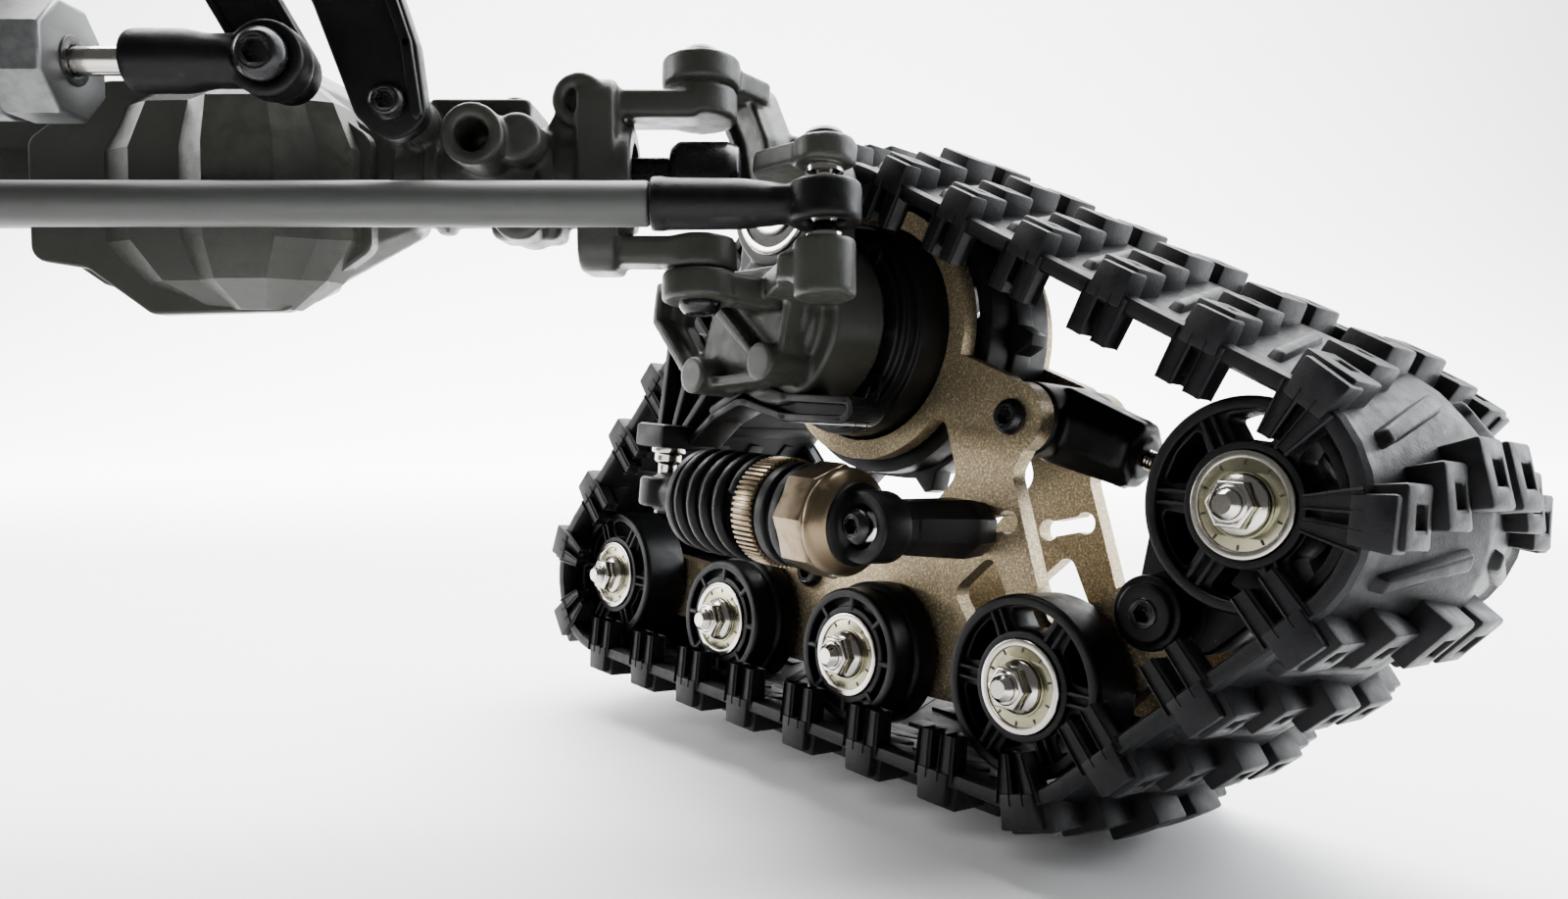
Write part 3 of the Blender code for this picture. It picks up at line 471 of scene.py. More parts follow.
def evaluated(mesh, *modifiers):
    """The mesh after modifiers, each given as (kind, {setting: value})."""
    carrier = placed("carrier", mesh)
    for kind, settings in modifiers:
        modifier = carrier.modifiers.new(kind.lower(), kind)
        for setting, value in settings.items():
            setattr(modifier, setting, value)
    return baked(carrier)


def moulded(voxel, *meshes, smooth=4):
    """Fuses shapes into one moulding with small fillets where they meet."""
    remesh = ("REMESH", {"mode": "VOXEL", "voxel_size": voxel, "use_smooth_shade": True})
    relax = ("SMOOTH", {"factor": 0.5, "iterations": smooth})
    return evaluated(join(*meshes), remesh, relax)


def boolean(mesh, operation, tool):
    other = placed("tool", tool)
    made = evaluated(mesh, ("BOOLEAN", {"operation": operation, "solver": "EXACT", "object": other}))
    bpy.data.objects.remove(other, do_unlink=True)
    return made


def circle(r, spot=(0, 0), sides=48, start=0.0):
    return [(spot[0] + r * cos(start + 2 * pi * k / sides),
             spot[1] + r * sin(start + 2 * pi * k / sides)) for k in range(sides)]


def capsule(a, b, r, steps=10):
    way = atan2(b[1] - a[1], b[0] - a[0])
    points = []
    for end, start in ((b, way - pi / 2), (a, way + pi / 2)):
        for k in range(steps + 1):
            angle = start + pi * k / steps
            points.append((end[0] + r * cos(angle), end[1] + r * sin(angle)))
    return points


def rounded(corners, steps=6):
    """Points round an outline whose corners are (x, y, radius)."""
    points = []
    for i, (x, y, r) in enumerate(corners):
        here = Vector((x, y))
        back = (Vector(corners[i - 1][:2]) - here).normalized()
        ahead = (Vector(corners[(i + 1) % len(corners)][:2]) - here).normalized()
        if r <= 0:
            points.append((x, y))
            continue
        half = back.angle(ahead) / 2
        reach = r / tan(half)
        centre = here + (back + ahead).normalized() * (r / sin(half))
        start = here + back * reach - centre
        sweep = start.angle_signed(here + ahead * reach - centre)
        for k in range(steps + 1):
            spoke = start.copy()
            spoke.rotate(rotate(-sweep * k / steps, 2))
            points.append(tuple(centre + spoke))
    return points


def cylinder(r, z0, z1, at=HERE, edge=0.3, sides=48, r_top=None):
    top = r if r_top is None else r_top
    return turned([(0, z1), (top, z1), (r, z0), (0, z0)], edge, at, sides)


def ring(outer, inner, z0, z1, at=HERE, edge=0.2, sides=64):
    return hoop([(inner, z1), (outer, z1), (outer, z0), (inner, z0)], edge, at, sides)


# ---- fasteners --------------------------------------------------------------------------------------
def flanged_nut(at):
    """Flanged hex nut with the chamfered, threaded tip of its bolt, standing up from local Z = 0."""
    flange = hoop([(1.2, 0.9), (2.3, 0.9), (3.05, 0.45), (3.05, 0.05), (1.2, 0.05)], 0.15, at, 48)
    hexagon = plate([circle(2.62, sides=6), circle(1.2, sides=24)], 0.7, 2.5, 0.28, at, 3)
    collar = hoop([(1.2, 2.75), (1.75, 2.75), (2.1, 2.3), (1.2, 2.3)], 0.12, at, 36)
    profile = [(0, 3.8), (1.0, 3.8), (1.38, 3.45)]
    depth = 3.4
    while depth > 2.5:
        profile += [(1.5, depth - 0.1), (1.3, depth - 0.25)]
        depth -= 0.3
    profile += [(1.3, 0.3), (0, 0.3)]
    return join(flange, hexagon, collar, lathe(profile, at, 36))


def socket_screw(r, height, at):
    """Button-headed screw with a hexagon socket, standing up from local Z = 0."""
    key = r * 0.48
    dome = hoop([(key * 1.15, height), (r * 0.72, height), (r, height * 0.45), (r, 0),
                 (key * 1.15, 0)], r * 0.12, at, 40)
    rim = plate([circle(key * 1.2, sides=36), circle(key, sides=6)], height * 0.2, height * 0.98, 0.03, at, 1)
    return join(dome, rim, cylinder(key * 1.1, 0.0, height * 0.3, at, 0.02, 24))


# ---- placing pieces ---------------------------------------------------------------------------------
def piece(name, mesh, mat, body, nodes=(), matrix=HERE, mirrored=False, crease=32):
    """Puts a mesh in the row frame as a named piece that rides on a body and stands for CAD nodes."""
    made = mesh.copy()
    made.name = name
    made.transform(Matrix.Diagonal((MM, MM, MM, 1)) @ matrix)
    if mirrored:
        made.flip_normals()
    made.shade_smooth()
    made.set_sharp_from_angle(angle=radians(crease))
    if not made.materials:
        made.materials.append(mat)
    thing = placed(name, made)
    if body:
        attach(thing, body)
    if nodes:
        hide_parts(*nodes)
    return thing


def pair(name, mesh, mat, body, nodes=(), crease=32):
    """The same piece on both track units, mirrored on the right one."""
    for side, tag, word in SIDES:
        stands = [f"{item}_{tag}" for item in nodes]
        piece(f"{name}_{tag}", mesh, mat, f"{body}_{word}", stands, unit_matrix(side), side < 0, crease)


# ---- belt -------------------------------------------------------------------------------------------
def belt_stretches():
    """The belt's path as arcs and straights: (kind, length, centre or start, radius or end, angle)."""
    circles = [(ROLLERS[3], ROLLER_R[3] + BELT_GAP), (IDLER, IDLER_R + BELT_GAP)]
    circles += [(HUB, SPROCKET_BELT_R), (ROLLERS[0], ROLLER_R[0] + BELT_GAP)]
    leaving = []
    for i, (centre, r) in enumerate(circles):
        other, other_r = circles[(i + 1) % 4]
        dx = other[0] - centre[0]
        dy = other[1] - centre[1]
        leaving.append(atan2(dy, dx) - acos((r - other_r) / hypot(dx, dy)))
    stretches = []
    for i, (centre, r) in enumerate(circles):
        leave = leaving[i]
        while leave < leaving[i - 1]:
            leave += 2 * pi
        arc = (r + BELT_T / 2) * (leave - leaving[i - 1])
        stretches.append(("arc", arc, centre, r, leaving[i - 1]))
        other, other_r = circles[(i + 1) % 4]
        start = (centre[0] + r * cos(leave), centre[1] + r * sin(leave))
        end = (other[0] + other_r * cos(leave), other[1] + other_r * sin(leave))
        stretches.append(("run", dist(start, end), start, end, leave))
    return stretches


STRETCHES = belt_stretches()
BELT_LENGTH = sum(item[1] for item in STRETCHES)
BARS = round(BELT_LENGTH / PITCH)
STEP = BELT_LENGTH / BARS


def belt_point(s, height, off):
    """Point at arc length s, at a height above the belt's inner face, off from its middle plane."""
    s = s % BELT_LENGTH
    for kind, length, a, b, angle in STRETCHES:
        if s <= length:
            break
        s -= length
    if kind == "arc":
        angle += s / (b + BELT_T / 2)
        return Vector((a[0] + (b + height) * cos(angle), a[1] + (b + height) * sin(angle), MID_W + off))
    t = s / length
    x = a[0] + (b[0] - a[0]) * t + height * cos(angle)
    y = a[1] + (b[1] - a[1]) * t + height * sin(angle)
    return Vector((x, y, MID_W + off))


def crown_at(off):
    return CROWN * max(0.0, 1 - abs(off) / (BELT_HALF - LUG_WIDTH))


def lead_at(off):
    return CHEVRON * (1 - abs(off) / BELT_HALF)


def carcass():
    """The belt's band: a shallow roof with a round rail along each edge."""
    roof = [18.6, 17.4, 13.0, 8.5, 4.0, 0.6]
    offs = [-x for x in roof] + roof[::-1]
    outer = [(off, crown_at(off) + BELT_T - 0.25) for off in offs]
    inner = [(off, crown_at(off)) for off in offs[::-1]]
    rail_r = [(19.6, 2.15), (20.3, 1.8), (20.5, 1.1), (20.3, 0.35), (19.6, 0.0)]
    rail_l = [(-x, h) for x, h in rail_r[::-1]]
    section = outer + rail_r + inner + rail_l
    count = BARS * 5
    bm = bmesh.new()
    rows = []
    for k in range(count):
        s = BELT_LENGTH * k / count
        rows.append([bm.verts.new(belt_point(s + lead_at(off), h, off)) for off, h in section])
    for k, row in enumerate(rows):
        beside = rows[(k + 1) % count]
        for j in range(len(section)):
            m = (j + 1) % len(section)
            bm.faces.new((row[j], row[m], beside[m], beside[j]))
    return to_mesh(bm)


ROUNDING = {"segments": 2, "profile": 0.5, "affect": "EDGES", "clamp_overlap": True}


def belt_block(s, off, size, low, high, taper=0.12, sipe=0.0, bevel=0.3, lean=0.0):
    """A moulded block on the belt: size along and across it, from height low to high over the carcass."""
    bm = bmesh.new()
    bmesh.ops.create_cube(bm, size=1.0)
    for vert in bm.verts:
        share = 1.0 - (taper if vert.co.z > 0 else 0.0)
        vert.co.x *= size[0] * share
        vert.co.y *= size[1] * (1 - (1 - share) * 0.5)
        vert.co.z = low if vert.co.z < 0 else high
    top = [face for face in bm.faces if face.normal.z > 0.9]
    if sipe:
        bmesh.ops.inset_region(bm, faces=top, thickness=min(size) * 0.27, use_even_offset=True)
        for vert in top[0].verts:
            vert.co.y *= 0.9
        for vert in bmesh.ops.extrude_face_region(bm, geom=top)["geom"]:
            if isinstance(vert, bmesh.types.BMVert):
                vert.co.z -= sipe
        bmesh.ops.delete(bm, geom=top, context="FACES")
    outline = [edge for edge in bm.edges if edge.calc_face_angle(0.0) > 0.6]
    bmesh.ops.bevel(bm, geom=outline, offset=bevel, **ROUNDING)
    for vert in bm.verts:
        x, y, z = vert.co
        rise = crown_at(off + y) - crown_at(off) if lean else 0.0
        vert.co = belt_point(s + x + lean * y, z + rise, off + y)
    return to_mesh(bm)


def belt():
    """Carcass, stepped chevron bars, edge blocks, guide prongs inside and the low ridges between bars."""
    meshes = [carcass()]
    across = ((4.0, 6.4, 2.7), (10.4, 6.0, 2.5), (16.7, 6.0, 2.7))
    edge_lead = lead_at(19.0)
    for k in range(BARS):
        s = k * STEP + STEP * 0.25
        for side in (-1, 1):
            for off, width, rise in across:
                base = crown_at(off) + BELT_T
                meshes.append(belt_block(s + lead_at(off), side * off, (5.4, width), base - 2.0, base + rise,
                                         0.14, 0.9))
            meshes.append(belt_block(s + edge_lead, side * 19.2, (4.8, 3.2), 0.4, BELT_T + 2.4, 0.12))
            for step in (-1.75, 1.75):
                meshes.append(belt_block(s + edge_lead + step, side * 19.3, (1.7, 2.5), 1.2, -INNER_LUG,
                                         0.12, bevel=0.35))
            meshes.append(belt_block(s + edge_lead, side * 18.4, (3.6, 0.9), 1.2, -INNER_LUG * 0.75, 0.1,
                                     bevel=0.2))
            base = crown_at(9.6) + BELT_T
            meshes.append(belt_block(s + STEP * 0.5 + lead_at(9.6), side * 9.6, (2.6, 15.0), base - 2.2,
                                     base + 0.7, 0.5, bevel=0.3, lean=-side * CHEVRON / BELT_HALF))
    return join(*meshes)


pair("belt", belt(), RUBBER, "track_frame", ["belt"], 38)


# ---- wheels -----------------------------------------------------------------------------------------
def sector_hole(inner, outer, middle, half):
    """Rounded opening between two spokes."""
    spread_in = half * 0.72
    corners = []
    for r, angle in ((inner, middle - spread_in), (outer, middle - half), (outer, middle),
                     (outer, middle + half), (inner, middle + spread_in), (inner, middle)):
        corners.append((r * cos(angle), r * sin(angle), 0.5 if angle != middle else 0.0))
    return rounded(corners[::-1], 4)


def wheel_face(r, spoked, at):
    """One rim of a wheel, its front face at local Z = 0 and its body behind it."""
    rim = [(r - 1.35, -0.05), (r - 0.25, -0.05), (r, -0.5), (r, -WHEEL_T), (r - 1.35, -WHEEL_T)]
    hub = [(5.45, -0.3), (6.3, -0.3), (6.4, -WHEEL_T), (2.7, -WHEEL_T), (2.7, -2.9), (5.45, -2.9)]
    meshes = [hoop(rim, 0.3, at, 96), hoop(hub, 0.2, at, 64)]
    holes = [circle(5.0, sides=40)]
    if spoked:
        holes += [sector_hole(6.5, r - 1.5, pi * (k + 0.5) / 3, pi / 6 - 0.16) for k in range(6)]
    meshes.append(plate([circle(r - 0.9, sides=96), *holes], -5.4, -1.3, 0.2, at))
    count = 6 if spoked else 8
    for k in range(count):
        angle = 2 * pi * k / count
        turn = at @ rotate(angle, 4, "Z")
        middle = (5.2 + r) / 2
        reach = r - 6.4
        if spoked:
            for offset in (-0.62, 0.62):
                bar = turn @ shift((middle, offset, -0.95))
                meshes.append(brick((reach, 0.42, 1.1), bar, 0.12, 1))
        else:
            meshes.append(brick((reach, 0.7, 1.5), turn @ shift((middle, 0, -0.85)), 0.15, 1))
    return meshes


def bearing(at):
    """Outer race and inner race of a ball bearing, facing local +Z."""
    outer = hoop([(4.6, 0.05), (5.4, 0.05), (5.4, -2.6), (4.6, -2.6)], 0.15, at, 72)
    inner = hoop([(1.9, 0.1), (3.0, 0.1), (3.0, -2.6), (1.9, -2.6)], 0.15, at, 60)
    return join(outer, inner)


def bearing_shield(at):
    disc = plate([circle(4.58, sides=80), circle(3.1, sides=64)], -0.55, -0.15, 0.06, at)
    lip = hoop([(3.1, 0.0), (3.35, 0.0), (3.35, -0.4), (3.1, -0.4)], 0.06, at, 64)
    return join(disc, lip)


def shield_notch_shade(at):
    """Small dark blocks round the edge of a shield: painted shade standing in for its slots."""
    meshes = []
    for k in range(10):
        turn = at @ rotate(2 * pi * (k + 0.5) / 10, 4, "Z")
        meshes.append(brick((0.55, 0.26, 0.18), turn @ shift((4.2, 0, -0.13)), 0.05, 1))
    return join(*meshes)


def face_matrices(spot):
    """Matrices for the near and far faces of a wheel, local Z pointing out of the unit."""
    near = at_spot(spot, 0.0)
    far = at_spot(spot, 2 * MID_W) @ FAR_FLIP
    return near, far


def wheel_set(name, spot, r, spoked, node_name, axle_node, body):
    near, far = face_matrices(spot)
    sleeve = ring(2.9, 1.8, 2 * MID_W + 1.0, -1.0, at_spot(spot))
    meshes = [*wheel_face(r, spoked, near), *wheel_face(r, spoked, far), sleeve]
    if not spoked:
        for at in (near, far):
            meshes.append(hoop([(r - 1.2, -3.4), (r + 0.55, -3.9), (r + 0.75, -4.6),
                                (r + 0.75, -WHEEL_T - 0.02), (r - 1.2, -WHEEL_T - 0.02)], 0.3, at, 96))
    pair(name, join(*meshes), BLACK, body, [node_name])
    # the notch blocks are painted shade of the shield's slots
    for suffix, shape, finish in (("_bearing", bearing, NICKEL), ("_shield", bearing_shield, SHIELD),
                                  ("_notch_shade", shield_notch_shade, SCREW)):
        pair(name + suffix, join(shape(near), shape(far)), finish, body)
    bolt = cylinder(1.5, 2 * MID_W - 0.2, 0.2, at_spot(spot), 0.1)
    pair(name + "_bolt", join(flanged_nut(near), flanged_nut(far), bolt), NICKEL, "track_frame", [axle_node])


wheel_set("idler", IDLER, IDLER_R, True, "idler", "idler_axle", "idler")
for index, centre in enumerate(ROLLERS):
    tag = f"roller{index + 1}"
    wheel_set(tag, centre, ROLLER_R[index], index in (0, 3), tag, tag + "_axle", tag)


# ---- side plates ------------------------------------------------------------------------------------
def side_plate(w0):
    """A blasted side plate with its ring round the hub; w0 is its inner face."""
    outline = rounded([
        (-90.0, -4.6, 4.4), (-56.0, -7.0, 6.0), (-28.0, -6.8, 6.0), (5.0, -5.4, 4.6), (15.6, 6.6, 4.2),
        (10.2, 15.0, 4.2), (-1.9, 5.6, 1.6), (-4.4, 10.3, 4.0), (-9.9, 23.9, 2.4), (-6.4, 30.8, 3.0),
        (-12.0, 36.0, 2.0), (-24.0, 40.0, 0.0), (-30.0, 31.0, 0.0), (-21.4, 29.6, 1.4), (-18.6, 22.8, 2.6),
        (-28.0, 12.0, 3.0), (-40.0, 10.6, 1.0), (-49.4, 10.6, 4.4), (-58.0, 3.2, 3.0), (-89.6, 4.6, 4.4)], 6)
    body = plate([outline], w0 - PLATE_T, w0, 0.0)
    hub_ring = plate([circle(17.8, HUB, 120), circle(15.2, HUB, 120)], w0 - PLATE_T, w0, 0.0)
    lobe = plate([circle(4.6, BOSS, 48)], w0 - PLATE_T, w0, 0.0)
    eye = cylinder(15.2, w0 - PLATE_T - 2, w0 + 2, at_spot(HUB), 0.0, 120)
    body = boolean(body, "UNION", lobe)
    body = boolean(body, "DIFFERENCE", eye)
    body = boolean(body, "UNION", hub_ring)
    window = rounded([(-17.6, 8.0, 1.6), (-12.0, 1.0, 1.6), (-7.4, 6.0, 1.6), (-11.8, 13.6, 1.4)], 5)
    slot_ends = ((-15.6, 16.2), (-9.8, 17.8))
    cuts = [window, capsule(*slot_ends, 1.05)]
    cuts += [circle(1.5, spot, 32) for spot in slot_ends]
    cuts += [circle(3.15, spot, 40) for spot in (*ROLLERS, PIVOT)]
    for cut in cuts:
        body = boolean(body, "DIFFERENCE", plate([cut], w0 - PLATE_T - 1, w0 + 1, 0.0))
    body.materials.clear()
    for finish in (BRONZE, BRONZE_TURNED):
        body.materials.append(finish)
    edge = {"width": 0.28, "segments": 2, "limit_method": "ANGLE", "angle_limit": radians(50), "material": 1}
    return evaluated(body, ("BEVEL", edge))


pair("plate_inner", side_plate(PLATE_W[0]), BRONZE, "track_frame", ["plate_inner"])
pair("plate_outer", side_plate(2 * MID_W - PLATE_W[1]), BRONZE, "track_frame", ["plate_outer"])

near_w = PLATE_W[0]
far_w = 2 * MID_W - PLATE_W[0]
screws = []
for spot in ((-44.6, 6.4), BOSS):
    screws.append(socket_screw(2.3, 1.5, at_spot(spot, near_w)))
    screws.append(socket_screw(2.3, 1.5, at_spot(spot, far_w) @ FAR_FLIP))
pair("plate_screws", join(*screws), SCREW, "track_frame")


# ---- sprocket and hub cover -------------------------------------------------------------------------
HUB_END_W = -32.6        # outer end of the sprocket's hub, under its nut


def sprocket():
    w0 = PLATE_W[1] - 0.8
    w1 = 2 * MID_W - w0
    at = at_spot(HUB)
    teeth = []
    count = 10
    for k in range(count):
        base = 2 * pi * k / count
        for share, r in ((-0.34, 20.2), (-0.16, 20.4), (-0.05, 22.7),
                         (0.05, 22.7), (0.16, 20.4), (0.34, 20.2)):
            angle = base + share * 2 * pi / count
            teeth.append((r * cos(angle), r * sin(angle)))
    lightening = [circle(2.4, (12.8 * cos(a), 12.8 * sin(a)), 24)
                  for a in (2 * pi * (k + 0.5) / 8 for k in range(8))]
    web = plate([teeth, *lightening], MID_W - 1.8, MID_W + 1.8, 0.3, at)
    drum = ring(19.6, 17.4, w1, w0, at, 0.4, 96)
    hub = turned([(0, w0), (6.6, w0), (7.0, w0 - 2), (7.0, MID_W), (6.2, w1 - 3), (5.6, HUB_END_W),
                  (0, HUB_END_W)], 0.5, at, 64)
    ribs = []
    for k in range(10):
        turn = at @ rotate(2 * pi * k / 10, 4, "Z")
        ribs.append(brick((11.6, 1.3, w0 - w1 - 1.5), turn @ shift((12.4, 0, MID_W)), 0.3))
    return join(web, drum, hub, *ribs)


pair("sprocket", sprocket(), BLACK, "sprocket", ["sprocket"])
outer_nut = at_spot(HUB, HUB_END_W) @ FAR_FLIP
drive_nut = join(plate([circle(4.0, sides=6), circle(1.9, sides=30)], 0.2, 2.0, 0.35, outer_nut, 3),
                 cylinder(2.0, 0.1, 2.3, outer_nut, 0.3))
pair("drive_nut", drive_nut, NICKEL, "sprocket")


def hub_cover():
    profile = [(0, 0.4), (9.4, 0.4), (9.8, -0.1), (12.6, -0.1), (12.8, -1.2), (13.7, -1.3), (13.8, -2.8)]
    profile += [(14.6, -2.9), (14.7, -9.4), (0, -9.4)]
    body = turned(profile, 0.3, at_spot(HUB, -0.7), 128)
    bosses = []
    for k in range(4):
        angle = radians(-38 + 90 * k)
        spot = (HUB[0] + 12.2 * cos(angle), HUB[1] + 12.2 * sin(angle))
        bosses.append(ring(1.5, 0.9, -0.9, -0.2, at_spot(spot), 0.15, 32))
    return join(body, *bosses)


pair("portal_cover", hub_cover(), BLACK, "knuckle", ["portal_cover"])


# ---- idler arm and tensioner ------------------------------------------------------------------------
def idler_arm():
    w0 = PLATE_W[1] - 0.3
    w1 = 2 * MID_W - w0
    outline = rounded([
        (PIVOT[0] - 5.0, PIVOT[1] - 3.4, 3.6), (PIVOT[0] + 4.6, PIVOT[1] - 4.4, 3.6),
        (IDLER[0] + 6.4, IDLER[1] - 3.8, 5.0), (IDLER[0] + 0.6, IDLER[1] + 6.8, 5.0),
        (PIVOT[0] + 2.0, PIVOT[1] + 19.0, 2.0), (PIVOT[0] - 2.6, PIVOT[1] + 17.0, 1.0)], 6)
    pocket = rounded([(PIVOT[0] + 1.6, PIVOT[1] + 5.6, 1.0), (IDLER[0] - 4.6, IDLER[1] - 3.6, 1.0),
                      (PIVOT[0] + 4.0, PIVOT[1] + 14.0, 1.0)], 4)
    bore = circle(3.0, IDLER, 48)
    cheeks = [plate([outline, bore], w0 - 4.6, w0, 0.4), plate([outline, bore], w1, w1 + 4.6, 0.4)]
    web = plate([outline, bore, pocket], MID_W - 2.6, MID_W + 2.6, 0.3)
    pin = [cylinder(2.0, -28.6, -6.4, at_spot(PIVOT)),
           cylinder(4.6, w1 - 0.1, w0 + 0.1, at_spot(PIVOT), 0.3)]
    for w, flip in ((-7.7, HERE), (-27.3, FAR_FLIP)):
        pin.append(hoop([(1.5, 2.5), (3.1, 2.5), (3.5, 1.9), (4.2, 1.7), (4.2, 0), (1.5, 0)], 0.25,
                        at_spot(PIVOT, w) @ flip, 56))
    return join(*cheeks, web, *pin)


pair("idler_arm", idler_arm(), BLACK, "track_frame", ["idler_arm"])
pivot_screws = join(socket_screw(2.3, 1.9, at_spot(PIVOT, -6.9)),
                    socket_screw(2.3, 1.9, at_spot(PIVOT, -28.1) @ FAR_FLIP))
pair("pivot_screws", pivot_screws, SCREW, "track_frame")


def tensioner():
    w0 = PLATE_W[1] - 0.3
    w1 = 2 * MID_W - w0
    barrel = cylinder(4.8, w1, w0, at_spot(BOSS), 0.4, 56)
    way = Vector((14.2, -4.0, 0.0))
    at = along(way, (*BOSS, MID_W))
    body = turned([(0, 13.6), (3.9, 13.6), (4.5, 12.9), (5.5, 1.0), (0, 1.0)], 0.4, at, 8, phase=0.39)
    collar = turned([(0, 14.2), (2.6, 14.2), (2.9, 13.2), (0, 13.2)], 0.2, at, 40)
    meshes = [barrel, body, collar]
    for k in range(3):
        root = along(way, (*BOSS, MID_W)) @ rotate(0.39 + k * 2.1, 4, "Z")
        meshes.append(brick((1.0, 9.0, 10.6), root @ shift((0, 0, 7.6)), 0.35))
    return moulded(0.30, *meshes)


pair("tensioner", tensioner(), BLACK, "track_frame", ["tensioner"])
tip_at = along((14.2, -4.0, 0.0), (*BOSS, MID_W))
thread = [(0, 16.6), (0.9, 16.6)]
for turn_index in range(9):
    thread += [(1.25, 16.3 - turn_index * 0.42), (1.0, 16.1 - turn_index * 0.42)]
thread += [(1.0, 12.0), (0, 12.0)]
pair("set_screw", lathe(thread, tip_at, 36), NICKEL, "track_frame")


# ---- track shock ------------------------------------------------------------------------------------
def shock_along(u):
    """Matrix whose local Z runs along +u on the shock's axis, starting at u."""
    return along((1, 0, 0), (u, SHOCK_V, SHOCK_W))


def shock_post():
    at = at_spot(POST)
    shaft = soft([(0, SHOCK_W - 3.2), (2.9, SHOCK_W - 3.2), (3.5, SHOCK_W - 4.6), (4.0, -4.0), (3.6, -7.7),
                  (0, -7.7)], 0.3)
    pin = soft([(0, SHOCK_W + 2.4), (1.4, SHOCK_W + 2.4), (1.4, SHOCK_W - 4.0), (0, SHOCK_W - 4.0)], 0.1)
    return join(lathe(shaft, at, 8, phase=0.39), lathe(pin, at, 32))


pair("shock_post", shock_post(), BLACK, "track_frame", ["shock_post"], 24)
pair("shock_screw", socket_screw(2.1, 1.3, at_spot(POST, SHOCK_W + 2.3)), SCREW, "track_frame")

axis_at = shock_along(0.0)
shock_eye = join(
    ring(4.3, 2.5, -2.3, 2.2, shift((POST[0], SHOCK_V, SHOCK_W)), 0.5),
    turned([(0, -15.8), (3.0, -15.8), (3.6, -16.4), (5.0, -16.6), (5.2, -18.2), (0, -18.2)], 0.3,
           axis_at, 56),
    hoop([(3.0, -24.2), (6.6, -24.2), (6.6, -25.6), (5.8, -25.8), (5.8, -26.6), (6.6, -26.8), (6.6, -28.4),
          (3.0, -28.6)], 0.25, axis_at, 72),
    hoop([(1.9, -32.0), (4.4, -32.0), (4.4, -38.6), (1.9, -38.6)], 0.25, axis_at, 56))
pair("shock_collars", shock_eye, BLACK, "track_shock")

body_parts = [
    hoop([(2.0, -17.0), (5.2, -17.0), (6.45, -18.2), (6.7, -19.4), (6.3, -19.8), (2.0, -19.8)], 0.4,
         axis_at, 96),
    plate([circle(7.0, sides=8), circle(2.0, sides=20)], -24.6, -19.6, 0.5, axis_at, 3)]
knurl = []
KNURL_RIBS = 60
for rib_index in range(KNURL_RIBS):
    rib_angle = 2 * pi * rib_index / KNURL_RIBS
    for rib_share, rib_r in ((-0.22, 6.95), (0.22, 6.95), (0.34, 6.62), (0.66, 6.62)):
        rib_way = rib_angle + rib_share * 2 * pi / KNURL_RIBS
        knurl.append((rib_r * cos(rib_way), rib_r * sin(rib_way)))
body_parts.append(plate([knurl, circle(4.3, sides=40)], -32.4, -28.8, 0.12, axis_at, 1))
pair("shock_body", join(*body_parts), BRONZE_TURNED, "track_shock", ["shock_body"], 28)
eye_ball = lathe([(1.5, 1.6), (2.1, 1.2), (2.42, 0.0), (2.1, -1.2), (1.5, -1.6)],
                 shift((POST[0], SHOCK_V, SHOCK_W)), 40, True)
pair("shock_eye_ball", eye_ball, NICKEL, "track_shock")

rod_parts = [
    hoop([(1.5, -44.6), (4.6, -44.6), (6.2, -45.2), (6.9, -45.4), (6.9, -46.6), (3.0, -47.2), (2.5, -48.4),
          (1.5, -48.4)], 0.25, axis_at, 72),
    moulded(0.28, turned([(0, -47.0), (2.7, -47.0), (3.0, -57.0), (0, -57.0)], 0.3, axis_at, 40),
            ring(3.7, 2.2, -2.1, 2.1, along((0, 1, 0), (PIN_U, SHOCK_V, SHOCK_W)), 0.5))]
pair("shock_rod_end", join(*rod_parts), BLACK, "track_shock_rod", ["shock_rod"])
pair("shock_shaft", cylinder(1.4, -52.0, -30.0, axis_at, 0.1), NICKEL, "track_shock_rod")

COIL_END = -33.2
COIL_START = -44.8
COIL_R = 6.25
WIRE_R = 0.85


def coil():
    turns = 4.2
    count = int(turns * 32)
    points = []
    for k in range(count + 1):
        share = k / count
        angle = 2 * pi * turns * share
        u = COIL_START + (COIL_END - COIL_START) * share
        points.append((u, SHOCK_V + COIL_R * cos(angle), SHOCK_W + COIL_R * sin(angle)))
    return tube(points, WIRE_R)


for side, tag, word in SIDES:
    to_row = Matrix.Diagonal((MM, MM, MM, 1)) @ unit_matrix(side)
    spring = piece(f"shock_spring_{tag}", coil(), BLACK, None, [f"shock_spring_{tag}"],
                   unit_matrix(side), side < 0, 60)
    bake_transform(spring)


# ---- torque bracket under the portal ----------------------------------------------------------------
def rib(a, b, w0, w1, thick=1.2):
    """A straight rib in the bracket's plane from a to b."""
    return plate([capsule(a, b, thick / 2, 6)], w0, w1, 0.2)


